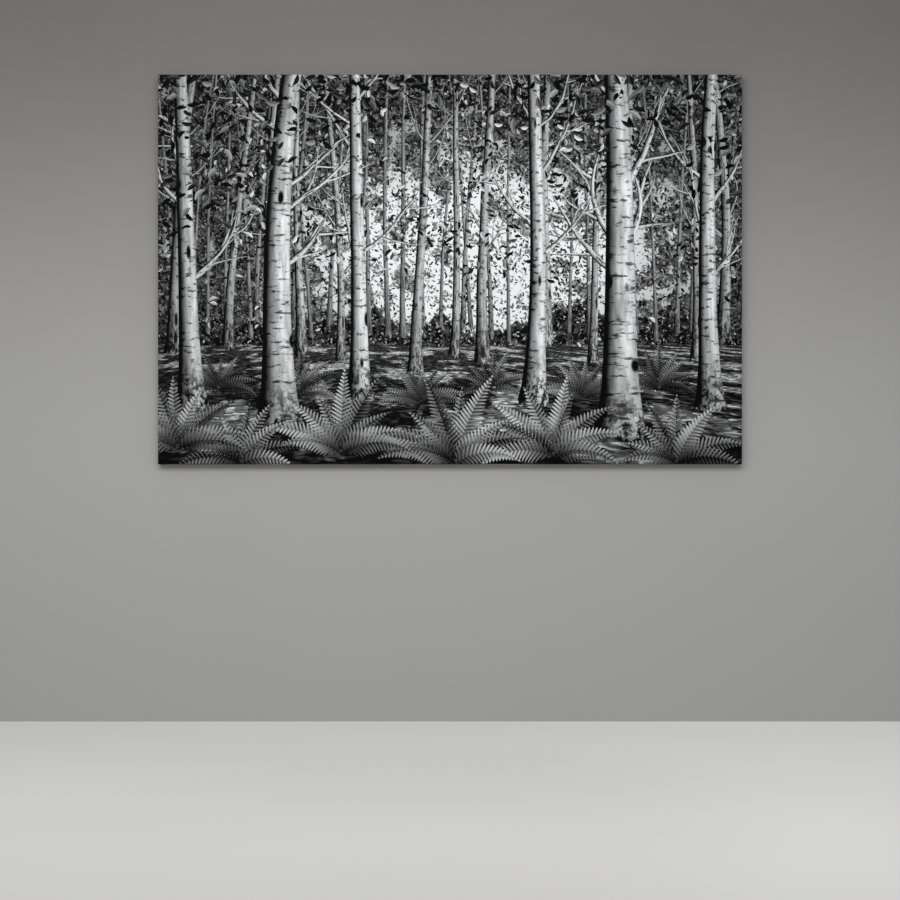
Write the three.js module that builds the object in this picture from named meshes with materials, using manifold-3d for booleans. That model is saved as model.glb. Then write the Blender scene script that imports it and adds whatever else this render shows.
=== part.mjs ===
import * as THREE from "three";
import { mergeVertices } from "three/addons/utils/BufferGeometryUtils.js";
import Module from "manifold-3d";

// A wide picture: cloth stretched over a wooden frame, wrapped round its sides and turned in at the back.
// Millimetres, +Z up. The picture faces -Y. The turned-in cloth lies against the wall, the plane Y = 0.
// The origin is on that plane, in the middle of the cloth turned in along the top edge.

// Overall size
const WIDTH = 2400;
const HEIGHT = 1600;
const DEPTH = 40;

// Cloth
const CLOTH = 0.8; // thickness, with the paint ground
const TURN_IN = 45; // how far the cloth reaches in from the edge at the back
const CLOTH_BEND = 3.6; // outside radius where the cloth goes round a bar
const BEND_STEPS = 4;
const CREASE_WIDTH = 0.8; // the mark of a folded corner
const CREASE_DEPTH = 0.35;

// Clearance between two pieces that touch
const GAP = 0.3;

// Frame bars, mitred at the corners
const BAR_WIDTH = 60;
const BAR_EASE = 1.5; // softened inner edges
const BEAD_WIDTH = 9; // the raised lip that alone carries the cloth
const BEAD_END = 14; // where the slope behind the lip ends
const BAR_FALL = 4; // how far the face behind the lip lies back

// Braces between the bars, and the tongues that hold them
const BRACE_WIDTH = 50;
const BRACE_DEPTH = 22;
const BRACE_SET_IN = 4; // from the wall plane to a brace's back
const TONGUE_WIDTH = 38;
const TONGUE_DEPTH = 10;
const TONGUE_LENGTH = 20;
const MORTISE_SPARE = 1; // room at the end of a tongue

// Wedge keys that tighten the joints
const KEY_THICKNESS = 4;
const KEY_IN = 22; // length inside the slot
const KEY_OUT = 28; // length that stands out of it
const KEY_TIP = 5;
const KEY_WIDTH = 20;
const KEY_CORNER = 4;
const SLOT_SPARE = 1; // wood left between a slot and the joint, and room round a key
const KEY_STAGGER = 7; // how far a corner's two keys lie to either side of the braces' mid depth

const SAME_POINT = 1e-4; // corners of a geometry that lie closer than this are one

// Sizes that follow
const skin = CLOTH + GAP; // from the outside of the cloth to the wood
const frameWidth = WIDTH - 2 * skin;
const frameHeight = HEIGHT - 2 * skin;
const frontY = -DEPTH + skin;
const backY = -skin;
const barBend = CLOTH_BEND - skin;
const innerWidth = frameWidth - 2 * BAR_WIDTH;
const innerHeight = frameHeight - 2 * BAR_WIDTH;
const bay = (innerWidth - 2 * BRACE_WIDTH) / 3;
const uprightX = (bay + BRACE_WIDTH) / 2;
const braceY = -BRACE_SET_IN - BRACE_DEPTH / 2;
const levelKeyY = braceY + KEY_STAGGER; // keys that lie along the level bars
const uprightKeyY = braceY - KEY_STAGGER; // keys that lie along the upright bars

const pine = new THREE.MeshStandardMaterial({ color: 0xd9b88a, roughness: 0.7, metalness: 0 });
const beech = new THREE.MeshStandardMaterial({ color: 0xc99a6b, roughness: 0.6, metalness: 0 });
const cloth = new THREE.MeshStandardMaterial({ color: 0x8f8f8e, roughness: 0.8, metalness: 0 });

const wasm = await Module();
wasm.setup();

// A closed geometry as a solid that can be joined and cut.
function solidOf(geometry) {
  const bare = geometry.clone();
  bare.deleteAttribute("normal");
  bare.deleteAttribute("uv");
  const merged = mergeVertices(bare, SAME_POINT);
  return new wasm.Manifold(
    new wasm.Mesh({
      numProp: 3,
      vertProperties: Float32Array.from(merged.attributes.position.array),
      triVerts: Uint32Array.from(merged.index.array),
    }),
  );
}

// A solid as a geometry again, with flat faces.
function geometryOf(solid) {
  const mesh = solid.getMesh();
  const indexed = new THREE.BufferGeometry();
  indexed.setAttribute("position", new THREE.BufferAttribute(mesh.vertProperties, 3));
  indexed.setIndex(new THREE.BufferAttribute(mesh.triVerts, 1));
  const flat = indexed.toNonIndexed();
  flat.computeVertexNormals();
  return flat;
}

// A box from its two opposite corners.
function boxSolid([x0, y0, z0], [x1, y1, z1]) {
  const box = new THREE.BoxGeometry(x1 - x0, y1 - y0, z1 - z0);
  box.translate((x0 + x1) / 2, (y0 + y1) / 2, (z0 + z1) / 2);
  return solidOf(box);
}

// Cuts every piece in the list out of a solid.
function cut(solid, pieces) {
  return pieces.reduce((left, piece) => left.subtract(piece), solid);
}

// A mesh whose own X axis points to across, its Y axis to the back, and its Z axis along the piece.
function placed(name, geometry, material, across, start) {
  const toBack = new THREE.Vector3(0, 1, 0);
  const along = new THREE.Vector3().crossVectors(across, toBack);
  const mesh = new THREE.Mesh(geometry, material);
  mesh.name = name;
  mesh.setRotationFromMatrix(new THREE.Matrix4().makeBasis(across, toBack, along));
  mesh.position.copy(start);
  return mesh;
}

// A bar's section: X runs in from the outer edge, Y from front to back.
function barSection() {
  const faceY = frontY + BAR_FALL;
  const section = new THREE.Shape();
  section.moveTo(barBend, frontY);
  section.lineTo(BEAD_WIDTH, frontY);
  section.lineTo(BEAD_END, faceY);
  section.lineTo(BAR_WIDTH - BAR_EASE, faceY);
  section.lineTo(BAR_WIDTH, faceY + BAR_EASE);
  section.lineTo(BAR_WIDTH, backY - BAR_EASE);
  section.lineTo(BAR_WIDTH - BAR_EASE, backY);
  section.lineTo(barBend, backY);
  section.absarc(barBend, backY - barBend, barBend, Math.PI / 2, Math.PI, false);
  section.lineTo(0, frontY + barBend);
  section.absarc(barBend, frontY + barBend, barBend, Math.PI, 1.5 * Math.PI, false);
  return section;
}

// Moves each end of a bar in by its distance from the outer edge, which mitres it at 45 degrees.
function mitre(geometry, length) {
  const at = geometry.attributes.position;
  for (let i = 0; i < at.count; i += 1) {
    const inwards = at.getX(i) + GAP / 2;
    const z = at.getZ(i);
    at.setZ(i, z < length / 2 ? z + inwards : z - inwards);
  }
  return geometry;
}

// A key slot beside a joint: from is the joint's side of it, and sense the way it goes along the bar.
function keySlot(from, sense, y) {
  const edges = [from + sense * SLOT_SPARE, from + sense * (slotWidth() + SLOT_SPARE)];
  const half = KEY_THICKNESS / 2 + GAP;
  return boxSolid(
    [BAR_WIDTH - KEY_IN - SLOT_SPARE, y - half, Math.min(...edges)],
    [BAR_WIDTH + SLOT_SPARE, y + half, Math.max(...edges)],
  );
}

// The width of a key at the mouth of its slot, with room to spare.
function slotWidth() {
  const slope = (KEY_WIDTH - KEY_TIP) / (KEY_IN + KEY_OUT - KEY_CORNER);
  return KEY_TIP + slope * KEY_IN + GAP + SLOT_SPARE;
}

// The mortise for a brace's tongue, and a key slot on each side of the brace.
function braceSeat(centre) {
  const half = TONGUE_WIDTH / 2 + GAP;
  const mortise = boxSolid(
    [BAR_WIDTH - TONGUE_LENGTH - MORTISE_SPARE, braceY - TONGUE_DEPTH / 2 - GAP, centre - half],
    [BAR_WIDTH + MORTISE_SPARE, braceY + TONGUE_DEPTH / 2 + GAP, centre + half],
  );
  const slots = [1, -1].map((sense) => keySlot(centre + (sense * BRACE_WIDTH) / 2, sense, braceY));
  return [mortise, ...slots];
}

// A frame bar with its corner key slots and the seats of the braces that meet it.
function frameBar(length, braceCentres, cornerSlotY) {
  const plain = new THREE.ExtrudeGeometry(barSection(), {
    depth: length,
    steps: 1,
    bevelEnabled: false,
    curveSegments: BEND_STEPS,
  });
  const corners = [
    keySlot(BAR_WIDTH, 1, cornerSlotY),
    keySlot(length - BAR_WIDTH, -1, cornerSlotY),
  ];
  const seats = braceCentres.flatMap((centre) => braceSeat(centre));
  return geometryOf(cut(solidOf(mitre(plain, length)), [...corners, ...seats]));
}

// A brace's section: a rectangle with softened edges, about its own middle.
function braceSection() {
  const x = BRACE_WIDTH / 2;
  const y = BRACE_DEPTH / 2;
  const section = new THREE.Shape();
  section.moveTo(-x + BAR_EASE, -y);
  section.lineTo(x - BAR_EASE, -y);
  section.lineTo(x, -y + BAR_EASE);
  section.lineTo(x, y - BAR_EASE);
  section.lineTo(x - BAR_EASE, y);
  section.lineTo(-x + BAR_EASE, y);
  section.lineTo(-x, y - BAR_EASE);
  section.lineTo(-x, -y + BAR_EASE);
  section.closePath();
  return section;
}

// A brace between two bars, with a tongue at each end, halved where it crosses another. The side is 1
// where the back half is cut away and -1 where the front half is.
function brace(span, crossings, side) {
  const shoulder = span - 2 * GAP;
  const reach = span + 2 * TONGUE_LENGTH - 2 * GAP;
  const body = new THREE.ExtrudeGeometry(braceSection(), { depth: shoulder, bevelEnabled: false });
  body.translate(0, 0, -shoulder / 2);
  const tongue = boxSolid(
    [-TONGUE_WIDTH / 2, -TONGUE_DEPTH / 2, -reach / 2],
    [TONGUE_WIDTH / 2, TONGUE_DEPTH / 2, reach / 2],
  );
  const halfLaps = crossings.map((z) => {
    const deep = [(-side * GAP) / 2, side * BRACE_DEPTH];
    return boxSolid(
      [-BRACE_WIDTH, Math.min(...deep), z - BRACE_WIDTH / 2 - GAP],
      [BRACE_WIDTH, Math.max(...deep), z + BRACE_WIDTH / 2 + GAP],
    );
  });
  return geometryOf(cut(solidOf(body).add(tongue), halfLaps));
}

// A wedge key. X runs from its tip in the slot to its tail, Y away from its straight edge, and the
// origin is where that edge passes the mouth of the slot.
function keyGeometry() {
  const outline = new THREE.Shape();
  outline.moveTo(-KEY_IN, 0);
  outline.lineTo(KEY_OUT - KEY_CORNER / 2, 0);
  outline.lineTo(KEY_OUT, KEY_CORNER / 2);
  outline.lineTo(KEY_OUT, KEY_WIDTH - KEY_CORNER);
  outline.lineTo(KEY_OUT - KEY_CORNER, KEY_WIDTH);
  outline.lineTo(-KEY_IN, KEY_TIP);
  outline.closePath();
  const key = new THREE.ExtrudeGeometry(outline, { depth: KEY_THICKNESS, bevelEnabled: false });
  return key.translate(0, 0, -KEY_THICKNESS / 2);
}

// A key in the corner at (x, z) between the wood it is driven into and the wood it lies along. The tail
// points along tail, and away leads from the wood that it lies along.
function keyMesh(name, geometry, x, y, z, tail, away) {
  const key = new THREE.Mesh(geometry, beech);
  key.name = name;
  const through = new THREE.Vector3().crossVectors(tail, away);
  key.setRotationFromMatrix(new THREE.Matrix4().makeBasis(tail, away, through));
  key.position.set(x, y, z).addScaledVector(away, SLOT_SPARE + GAP);
  return key;
}

// A flat block with rounded front and back edges: the outside or the inside of the wrapped cloth.
function wrapBlock(width, height, depth, bend) {
  const outline = new THREE.Shape();
  outline.moveTo(-width / 2, -height / 2);
  outline.lineTo(width / 2, -height / 2);
  outline.lineTo(width / 2, height / 2);
  outline.lineTo(-width / 2, height / 2);
  outline.closePath();
  const block = new THREE.ExtrudeGeometry(outline, {
    depth: depth - 2 * bend,
    steps: 1,
    bevelThickness: bend,
    bevelSize: bend,
    bevelOffset: -bend,
    bevelSegments: BEND_STEPS,
  });
  block.translate(0, 0, bend - depth / 2);
  block.rotateX(Math.PI / 2);
  return block.translate(0, -DEPTH / 2, 0);
}

// The slanting mark that the folded corner leaves at the back, from near the corner to the cloth's edge.
function cornerCrease(signX, signZ) {
  const from = 2 * CLOTH_BEND;
  const to = TURN_IN + CLOTH_BEND;
  const groove = new THREE.BoxGeometry((to - from) * Math.SQRT2, 2 * CREASE_DEPTH, CREASE_WIDTH);
  groove.rotateY((-signX * signZ * Math.PI) / 4);
  const inwards = (from + to) / 2;
  groove.translate(signX * (WIDTH / 2 - inwards), 0, signZ * (HEIGHT / 2 - inwards));
  return solidOf(groove);
}

// The cloth: one thin shell over the front, the four sides and the turned-in edges.
function clothGeometry() {
  const outside = solidOf(wrapBlock(WIDTH, HEIGHT, DEPTH, CLOTH_BEND));
  const inside = wrapBlock(
    WIDTH - 2 * CLOTH,
    HEIGHT - 2 * CLOTH,
    DEPTH - 2 * CLOTH,
    CLOTH_BEND - CLOTH,
  );
  const open = boxSolid(
    [TURN_IN - WIDTH / 2, -DEPTH / 2, TURN_IN - HEIGHT / 2],
    [WIDTH / 2 - TURN_IN, DEPTH, HEIGHT / 2 - TURN_IN],
  );
  const creases = [1, -1].flatMap((x) => [1, -1].map((z) => cornerCrease(x, z)));
  return geometryOf(cut(outside, [solidOf(inside), open, ...creases]));
}

const right = new THREE.Vector3(1, 0, 0);
const left = new THREE.Vector3(-1, 0, 0);
const up = new THREE.Vector3(0, 0, 1);
const down = new THREE.Vector3(0, 0, -1);

const picture = new THREE.Group();
picture.position.z = (TURN_IN - HEIGHT) / 2;

const canvas = new THREE.Mesh(clothGeometry(), cloth);
canvas.name = "canvas";
picture.add(canvas);

// The four frame bars
const levelSeats = [frameWidth / 2 - uprightX, frameWidth / 2 + uprightX];
const levelBar = frameBar(frameWidth, levelSeats, uprightKeyY);
const uprightBar = frameBar(frameHeight, [frameHeight / 2], levelKeyY);
const halfWidth = frameWidth / 2;
const halfHeight = frameHeight / 2;
picture.add(
  placed("bar_top", levelBar, pine, down, new THREE.Vector3(-halfWidth, 0, halfHeight)),
  placed("bar_bottom", levelBar, pine, up, new THREE.Vector3(halfWidth, 0, -halfHeight)),
  placed("bar_left", uprightBar, pine, right, new THREE.Vector3(-halfWidth, 0, -halfHeight)),
  placed("bar_right", uprightBar, pine, left, new THREE.Vector3(halfWidth, 0, halfHeight)),
);

// Two upright braces and a level one, halved into each other
const uprightBrace = brace(innerHeight, [0], 1);
const levelBrace = brace(innerWidth, [-uprightX, uprightX], -1);
picture.add(
  placed("brace_left", uprightBrace, pine, right, new THREE.Vector3(-uprightX, braceY, 0)),
  placed("brace_right", uprightBrace, pine, right, new THREE.Vector3(uprightX, braceY, 0)),
  placed("brace_level", levelBrace, pine, down, new THREE.Vector3(0, braceY, 0)),
);

// Two keys in each corner: one lies along the level bar, the other along the upright bar
const key = keyGeometry();
for (const [side, sx] of [["left", -1], ["right", 1]]) {
  for (const [end, sz] of [["top", 1], ["bottom", -1]]) {
    const toMiddle = sx < 0 ? right : left;
    const toCentre = sz < 0 ? up : down;
    const x = (sx * innerWidth) / 2;
    const z = (sz * innerHeight) / 2;
    picture.add(
      keyMesh(`key_${end}_${side}_level`, key, x, levelKeyY, z, toMiddle, toCentre),
      keyMesh(`key_${end}_${side}_upright`, key, x, uprightKeyY, z, toCentre, toMiddle),
    );
  }
}

// A key on each side of each end of a brace, driven into the bar
for (const [name, sx] of [["left", -1], ["right", 1]]) {
  for (const [end, sz] of [["top", 1], ["bottom", -1]]) {
    for (const [side, outwards] of [["a", left], ["b", right]]) {
      const x = sx * uprightX + (outwards.x * BRACE_WIDTH) / 2;
      const z = (sz * innerHeight) / 2;
      const tail = sz < 0 ? up : down;
      picture.add(keyMesh(`key_brace_${name}_${end}_${side}`, key, x, braceY, z, tail, outwards));
    }
  }
}
for (const [end, sx] of [["left", -1], ["right", 1]]) {
  for (const [side, outwards] of [["a", up], ["b", down]]) {
    const x = (sx * innerWidth) / 2;
    const z = (outwards.z * BRACE_WIDTH) / 2;
    const tail = sx < 0 ? right : left;
    picture.add(keyMesh(`key_brace_level_${end}_${side}`, key, x, braceY, z, tail, outwards));
  }
}

const group = new THREE.Group();
group.add(picture);

export default group;
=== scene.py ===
# %% [markdown]
# # A stretched canvas wall picture
# A printed cloth is pulled over a wooden frame, wrapped round its sides and stapled at the back. The
# frame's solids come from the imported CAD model. This file makes the cloth with its wrapped sides, the
# folded corners, the staples, the printed design and every finish, and then the room's light.

# %% Load the frame
import math

import bmesh
import bpy
import numpy as np
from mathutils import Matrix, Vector


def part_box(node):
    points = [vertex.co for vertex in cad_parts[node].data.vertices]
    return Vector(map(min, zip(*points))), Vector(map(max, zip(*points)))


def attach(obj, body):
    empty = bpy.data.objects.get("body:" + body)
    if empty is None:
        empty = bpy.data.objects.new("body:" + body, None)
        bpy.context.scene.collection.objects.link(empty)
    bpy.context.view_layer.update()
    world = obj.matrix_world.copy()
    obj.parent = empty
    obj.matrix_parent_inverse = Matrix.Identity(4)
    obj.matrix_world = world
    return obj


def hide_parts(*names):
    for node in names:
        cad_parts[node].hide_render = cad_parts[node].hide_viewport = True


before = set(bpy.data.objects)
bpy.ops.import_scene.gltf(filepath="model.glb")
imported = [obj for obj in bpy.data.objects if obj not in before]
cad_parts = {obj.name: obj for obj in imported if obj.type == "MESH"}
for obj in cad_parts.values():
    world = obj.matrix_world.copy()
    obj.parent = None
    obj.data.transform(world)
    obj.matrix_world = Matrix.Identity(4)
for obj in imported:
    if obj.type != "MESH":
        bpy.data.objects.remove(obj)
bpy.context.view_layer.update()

# %% [markdown]
# ## Sizes
# All sizes are in metres, in the CAD model's own frame: the picture faces -Y and the wall is the plane
# Y = 0. The overall size is read from the CAD cloth, so the looks follow the frame if it changes.

# %% Sizes that follow from the frame
MM = 0.001
low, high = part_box("canvas")
WIDTH = high.x - low.x
HEIGHT = high.z - low.z
FRONT = low.y
DEPTH = high.y - low.y
CENTRE = np.array([(low.x + high.x) / 2, (low.z + high.z) / 2])
TURN_IN = 45 * MM  # how far from the outside the cloth's cut edge lies, at the back
THICK = 0.6 * MM  # of the cloth, between its printed side and its raw one
BEND = 3.6 * MM  # the radius of the printed side where it goes round an edge of the frame
BACK_SETTING = 0.45 * MM  # how far the turned-in cloth lies in front of the wall, under the staples
print("picture", round(WIDTH, 3), "x", round(HEIGHT, 3), "x", round(DEPTH, 3))

# %% [markdown]
# ## The camera
# The picture hangs high on the wall, and is seen from the height of somebody who sits. A camera could be
# tilted up to it, but then its upright sides would lean together. So the camera is level, and the view is
# shifted up instead, as with a view camera. A flat thing seen squarely looks the same from any distance
# with a lens to match, so the camera stands six metres away and has a long lens.

# %% The camera
EYE = (0, -6.202, -2.0135)
camera_data = bpy.data.cameras.new("camera")
camera_data.lens = 60
camera_data.sensor_width = 36
camera_data.shift_y = 0.1333
camera = bpy.data.objects.new("camera", camera_data)
camera.location = EYE
camera.rotation_euler = (math.pi / 2, 0, 0)
bpy.context.scene.collection.objects.link(camera)
bpy.context.scene.camera = camera
print("camera at", EYE, "lens", camera_data.lens)


# %% [markdown]
# ## Helpers for meshes and materials
# Every piece here is worked out as arrays of points and faces, and one helper makes the mesh. Materials
# could be wired node by node, but a print as rich as this one takes hundreds of nodes. A small class
# writes them as formulas instead: each method adds a node and gives back its output.

# %% A helper that puts arrays into a mesh
def make_object(name, points, faces, materials, face_material=None, smooth=True):
    """Makes an object at the origin from an array of points and a list of faces, each a list of point
    numbers. face_material gives each face's material number."""
    mesh = bpy.data.meshes.new(name)
    mesh.from_pydata(np.asarray(points, float).tolist(), [], [list(map(int, f)) for f in faces])
    for material in materials:
        mesh.materials.append(material)
    if face_material is not None:
        mesh.polygons.foreach_set("material_index", np.asarray(face_material, np.int32))
    mesh.polygons.foreach_set("use_smooth", np.full(len(mesh.polygons), smooth))
    mesh.update()
    obj = bpy.data.objects.new(name, mesh)
    bpy.context.scene.collection.objects.link(obj)
    return obj


# %% A helper that writes shader nodes as formulas
class Graph:
    """Adds nodes to one node tree. A value is a number or the output of a node made before."""

    def __init__(self, tree):
        self.tree = tree

    def feed(self, socket, value):
        """Links an output to a socket, or sets the socket's number. None leaves it as it is."""
        if isinstance(value, bpy.types.NodeSocket):
            self.tree.links.new(value, socket)
        elif value is not None:
            socket.default_value = value

    def add(self, kind, settings=None, **inputs):
        """A new node with these settings and inputs. A space in an input's name is written as _."""
        node = self.tree.nodes.new("ShaderNode" + kind)
        for name, value in (settings or {}).items():
            setattr(node, name, value)
        for name, value in inputs.items():
            self.feed(node.inputs[name.replace("_", " ")], value)
        return node

    def math(self, operation, *values, clamp=False):
        """A sum, a product or the like of plain numbers."""
        node = self.tree.nodes.new("ShaderNodeMath")
        node.operation = operation
        node.use_clamp = clamp
        for socket, value in zip(node.inputs, values):
            self.feed(socket, value)
        return node.outputs[0]

    def vector(self, operation, *values):
        """The same for vectors."""
        node = self.tree.nodes.new("ShaderNodeVectorMath")
        node.operation = operation
        for socket, value in zip(node.inputs, values):
            self.feed(socket, value)
        return node.outputs["Value" if operation in ("LENGTH", "DOT_PRODUCT") else "Vector"]

    def join(self, x=0.0, y=0.0, z=0.0):
        """A vector from its three coordinates."""
        return self.add("CombineXYZ", X=x, Y=y, Z=z).outputs[0]

    def scaled(self, *pairs):
        """A vector from pairs of a coordinate and the number that it is multiplied by."""
        return self.join(*[self.math("MULTIPLY", value, number) for value, number in pairs])

    def split(self, vector, axes="xyz"):
        """The named coordinates of a vector, as plain numbers."""
        ways = {"x": (1, 0, 0), "y": (0, 1, 0), "z": (0, 0, 1)}
        return [self.vector("DOT_PRODUCT", vector, ways[axis]) for axis in axes]

    def parts(self, colour):
        """The three numbers of a colour."""
        return self.add("SeparateColor", Color=colour).outputs[:3]

    def attribute(self, name):
        """The outputs that read an attribute of the mesh."""
        return self.add("Attribute", {"attribute_name": name}).outputs

    def between(self, value, low, high, to_low=0.0, to_high=1.0, smooth=True):
        """value from low to high becomes to_low to to_high, and stays there outside."""
        node = self.add("MapRange", {"interpolation_type": "SMOOTHSTEP" if smooth else "LINEAR"})
        for socket, given in zip(node.inputs, (value, low, high, to_low, to_high)):
            self.feed(socket, given)
        return node.outputs[0]

    def mix(self, share, a, b):
        """a where share is 0 and b where it is 1, for plain numbers."""
        node = self.add("Mix", {"data_type": "FLOAT"})
        for socket, given in zip(node.inputs, (share, None, a, b)):
            self.feed(socket, given)
        return node.outputs[0]

    def mix_colour(self, share, a, b, blend="MIX"):
        """The same for colours, and for places that are read as colours."""
        node = self.add("Mix", {"data_type": "RGBA", "blend_type": blend})
        self.feed(node.inputs[0], share)
        self.feed(node.inputs[6], a)
        self.feed(node.inputs[7], b)
        return node.outputs[2]

    def lighten(self, colour, light):
        """The colour with its three numbers multiplied by light."""
        grey = self.add("CombineColor", Red=light, Green=light, Blue=light).outputs[0]
        return self.mix_colour(1.0, colour, grey, "MULTIPLY")

    def noise(self, vector, scale, detail=2.0, roughness=0.5, flat=True):
        """Soft noise from 0 to 1, about 0.5."""
        kind = {"noise_dimensions": "2D" if flat else "3D"}
        values = {"Vector": vector, "Scale": scale, "Detail": detail, "Roughness": roughness}
        return self.add("TexNoise", kind, **values).outputs[0]

    def cells_3d(self, vector):
        """The distance to the middle of the nearest of many cells about 1 wide."""
        kind = {"voronoi_dimensions": "3D"}
        return self.add("TexVoronoi", kind, Vector=vector, Scale=1.0).outputs["Distance"]

    def relief(self, shader, height, strength, depth):
        """Lets the light fall on the surface as if it were raised by height times depth."""
        bump = self.add("Bump", Strength=strength, Distance=depth, Height=height)
        self.feed(shader.inputs["Normal"], bump.outputs[0])


def new_material(name):
    """An empty material with a Principled shader, and the Graph that fills it."""
    material = bpy.data.materials.new(name)
    material.use_nodes = True
    material.node_tree.nodes.clear()
    graph = Graph(material.node_tree)
    shader = graph.add("BsdfPrincipled")
    output = graph.add("OutputMaterial")
    graph.tree.links.new(shader.outputs[0], output.inputs["Surface"])
    return material, graph, shader


def new_group(name, inputs, outputs):
    """An empty node group with inputs of the given kinds, and outputs that are plain numbers."""
    tree = bpy.data.node_groups.new(name, "ShaderNodeTree")
    for given, kind in inputs.items():
        tree.interface.new_socket(given, in_out="INPUT", socket_type="NodeSocket" + kind)
    for result in outputs:
        tree.interface.new_socket(result, in_out="OUTPUT", socket_type="NodeSocketFloat")
    return tree


# %% [markdown]
# ## The cloth as one wrapped sheet
# The real cloth is one flat piece, pulled round the frame. It could be simulated, but a tight cloth takes
# the frame's own shape, so it is worked out instead: a flat front, and a profile that is carried round
# the outline. The profile goes round the front edge, across the side, round the back edge and in along
# the back. Two shells 0.6 mm apart, the printed one fine and the raw one coarse, close on each other at
# the cut edge.

# %% The profile of the wrapped edge
FRONT_CELLS = (300, 200)  # cells of the front along the width and the height
RAW_EVERY = 10  # the raw side has one cell where the printed side has this many
QUARTER = BEND * math.pi / 2  # cloth in one bend
SIDE = DEPTH - BACK_SETTING - 2 * BEND  # straight cloth between the two bends


def profile(distance, skin):
    """How far in from the outside, and how far back from the front, a point of the cloth lies after it
    has gone distance past the flat front: round a quarter circle, straight across the side, round a
    second quarter circle and straight in. skin is how far under the printed face the point lies."""
    turn_1 = np.clip(distance / QUARTER, 0, 1) * math.pi / 2
    straight = np.clip(distance - QUARTER, 0, SIDE)
    turn_2 = np.clip((distance - QUARTER - SIDE) / QUARTER, 0, 1) * math.pi / 2
    inwards = np.clip(distance - 2 * QUARTER - SIDE, 0, None)
    radius = BEND - skin
    inset = BEND - radius * np.sin(turn_1) + radius * (1 - np.cos(turn_2)) + inwards
    back = BEND - radius * np.cos(turn_1) + straight + radius * np.sin(turn_2)
    return inset, back


def wrap_rows(turns, sides, flaps):
    """Distances past the flat front of each row of points of the profile, but the first."""
    bend_2 = QUARTER + SIDE
    stops = [0, QUARTER, bend_2, bend_2 + QUARTER, bend_2 + QUARTER + TURN_IN - BEND]
    steps = [turns, sides, turns, flaps]
    parts = [np.linspace(a, b, n + 1)[1:] for a, b, n in zip(stops, stops[1:], steps)]
    return np.concatenate(parts)


def outline(cells_x, cells_z):
    """Points of the outline of a square from -1 to 1, anticlockwise from its lower left corner, with
    that many cells on each side."""
    x = np.linspace(-1, 1, cells_x + 1)[:-1]
    z = np.linspace(-1, 1, cells_z + 1)[:-1]
    sides = [
        np.stack([x, -np.ones_like(x)], 1),
        np.stack([np.ones_like(z), z], 1),
        np.stack([-x, np.ones_like(x)], 1),
        np.stack([-np.ones_like(z), -z], 1),
    ]
    return np.concatenate(sides)


rows = wrap_rows(turns=4, sides=5, flaps=6)
rim = outline(*FRONT_CELLS)
print("outline", len(rim), "points, profile", len(rows), "rows")


# %% [markdown]
# Cloth that is stapled every few centimetres is pulled tighter at each staple, so its edges run in very
# shallow scallops, and its middle dips between the braces by a millimetre or so. Both are far too small
# to see straight on, but they keep the sheen of the sides and the front from looking like plastic.

# %% The slack of the cloth
STAPLE_PITCH = 50 * MM
DIP = 1.2 * MM
SCALLOP = 0.22 * MM
CORNER_FADE = 12  # the scallops fade out over the last twelfth of half a side


def slack(x, z):
    """How far the front lies back from flat: a shallow bowl, with two broad waves across it."""
    u = x / (WIDTH / 2)
    v = z / (HEIGHT / 2)
    bowl = np.clip(1 - u**2, 0, 1) * np.clip(1 - v**2, 0, 1)
    waves = 0.25 * np.sin(2.3 * u + 4.1 * v) + 0.15 * np.sin(5.3 * u - 2.9 * v + 1)
    return DIP * bowl * (1 + waves)


def scallop(along):
    """The shallow wave between staples, from 0 at a staple to 1 midway."""
    return 0.5 - 0.5 * np.cos(2 * math.pi * along / STAPLE_PITCH)


# %% The points of the printed shell
def front_points(cells_x, cells_z, skin):
    """A flat grid over the front, up to where the edge starts to bend, with the cloth's slack."""
    x = np.linspace(-1, 1, cells_x + 1) * (WIDTH / 2 - BEND)
    z = np.linspace(-1, 1, cells_z + 1) * (HEIGHT / 2 - BEND)
    x, z = np.meshgrid(x, z)
    y = FRONT + skin + slack(x, z)
    return np.stack([x + CENTRE[0], y, z + CENTRE[1]], -1).reshape(-1, 3)


def ring_points(rim, rows, skin):
    """The wrapped edge: the square outline rim, drawn in by the profile's inset at each row, and set
    back by the profile's depth. The sides bow in a little between the staples."""
    inset, back = profile(rows[:, None], skin)
    along = np.where(np.abs(rim[:, 1]) > np.abs(rim[:, 0]), rim[:, 0] * WIDTH, rim[:, 1] * HEIGHT) / 2
    from_corner = 1 - np.abs(rim).min(axis=1)
    steady = np.clip(from_corner * CORNER_FADE, 0, 1)
    middle = np.sin(rows / rows.max() * math.pi)[:, None]
    bow = SCALLOP * scallop(along)[None, :] * steady[None, :] * middle
    x = rim[None, :, 0] * (WIDTH / 2 - inset - bow)
    z = rim[None, :, 1] * (HEIGHT / 2 - inset - bow)
    y = FRONT + np.broadcast_to(back, x.shape)
    return np.stack([x + CENTRE[0], y, z + CENTRE[1]], -1).reshape(-1, 3)


def rim_numbers(cells_x, cells_z):
    """The numbers of the front grid's points along its outline, in the order of outline()."""
    grid = np.arange((cells_x + 1) * (cells_z + 1)).reshape(cells_z + 1, cells_x + 1)
    return np.concatenate([grid[0, :-1], grid[:-1, -1], grid[-1, :0:-1], grid[:0:-1, 0]])


def grid_faces(cells_x, cells_z):
    """Four-sided faces of a grid, facing -Y."""
    grid = np.arange((cells_x + 1) * (cells_z + 1)).reshape(cells_z + 1, cells_x + 1)
    corners = [grid[:-1, :-1], grid[:-1, 1:], grid[1:, 1:], grid[1:, :-1]]
    return np.stack(corners, -1).reshape(-1, 4)


def band_faces(rings):
    """Four-sided faces between closed rings of points, given as rows of point numbers."""
    after = np.roll(rings, -1, axis=1)
    corners = [rings[:-1], rings[1:], after[1:], after[:-1]]
    return np.stack(corners, -1).reshape(-1, 4)


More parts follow.
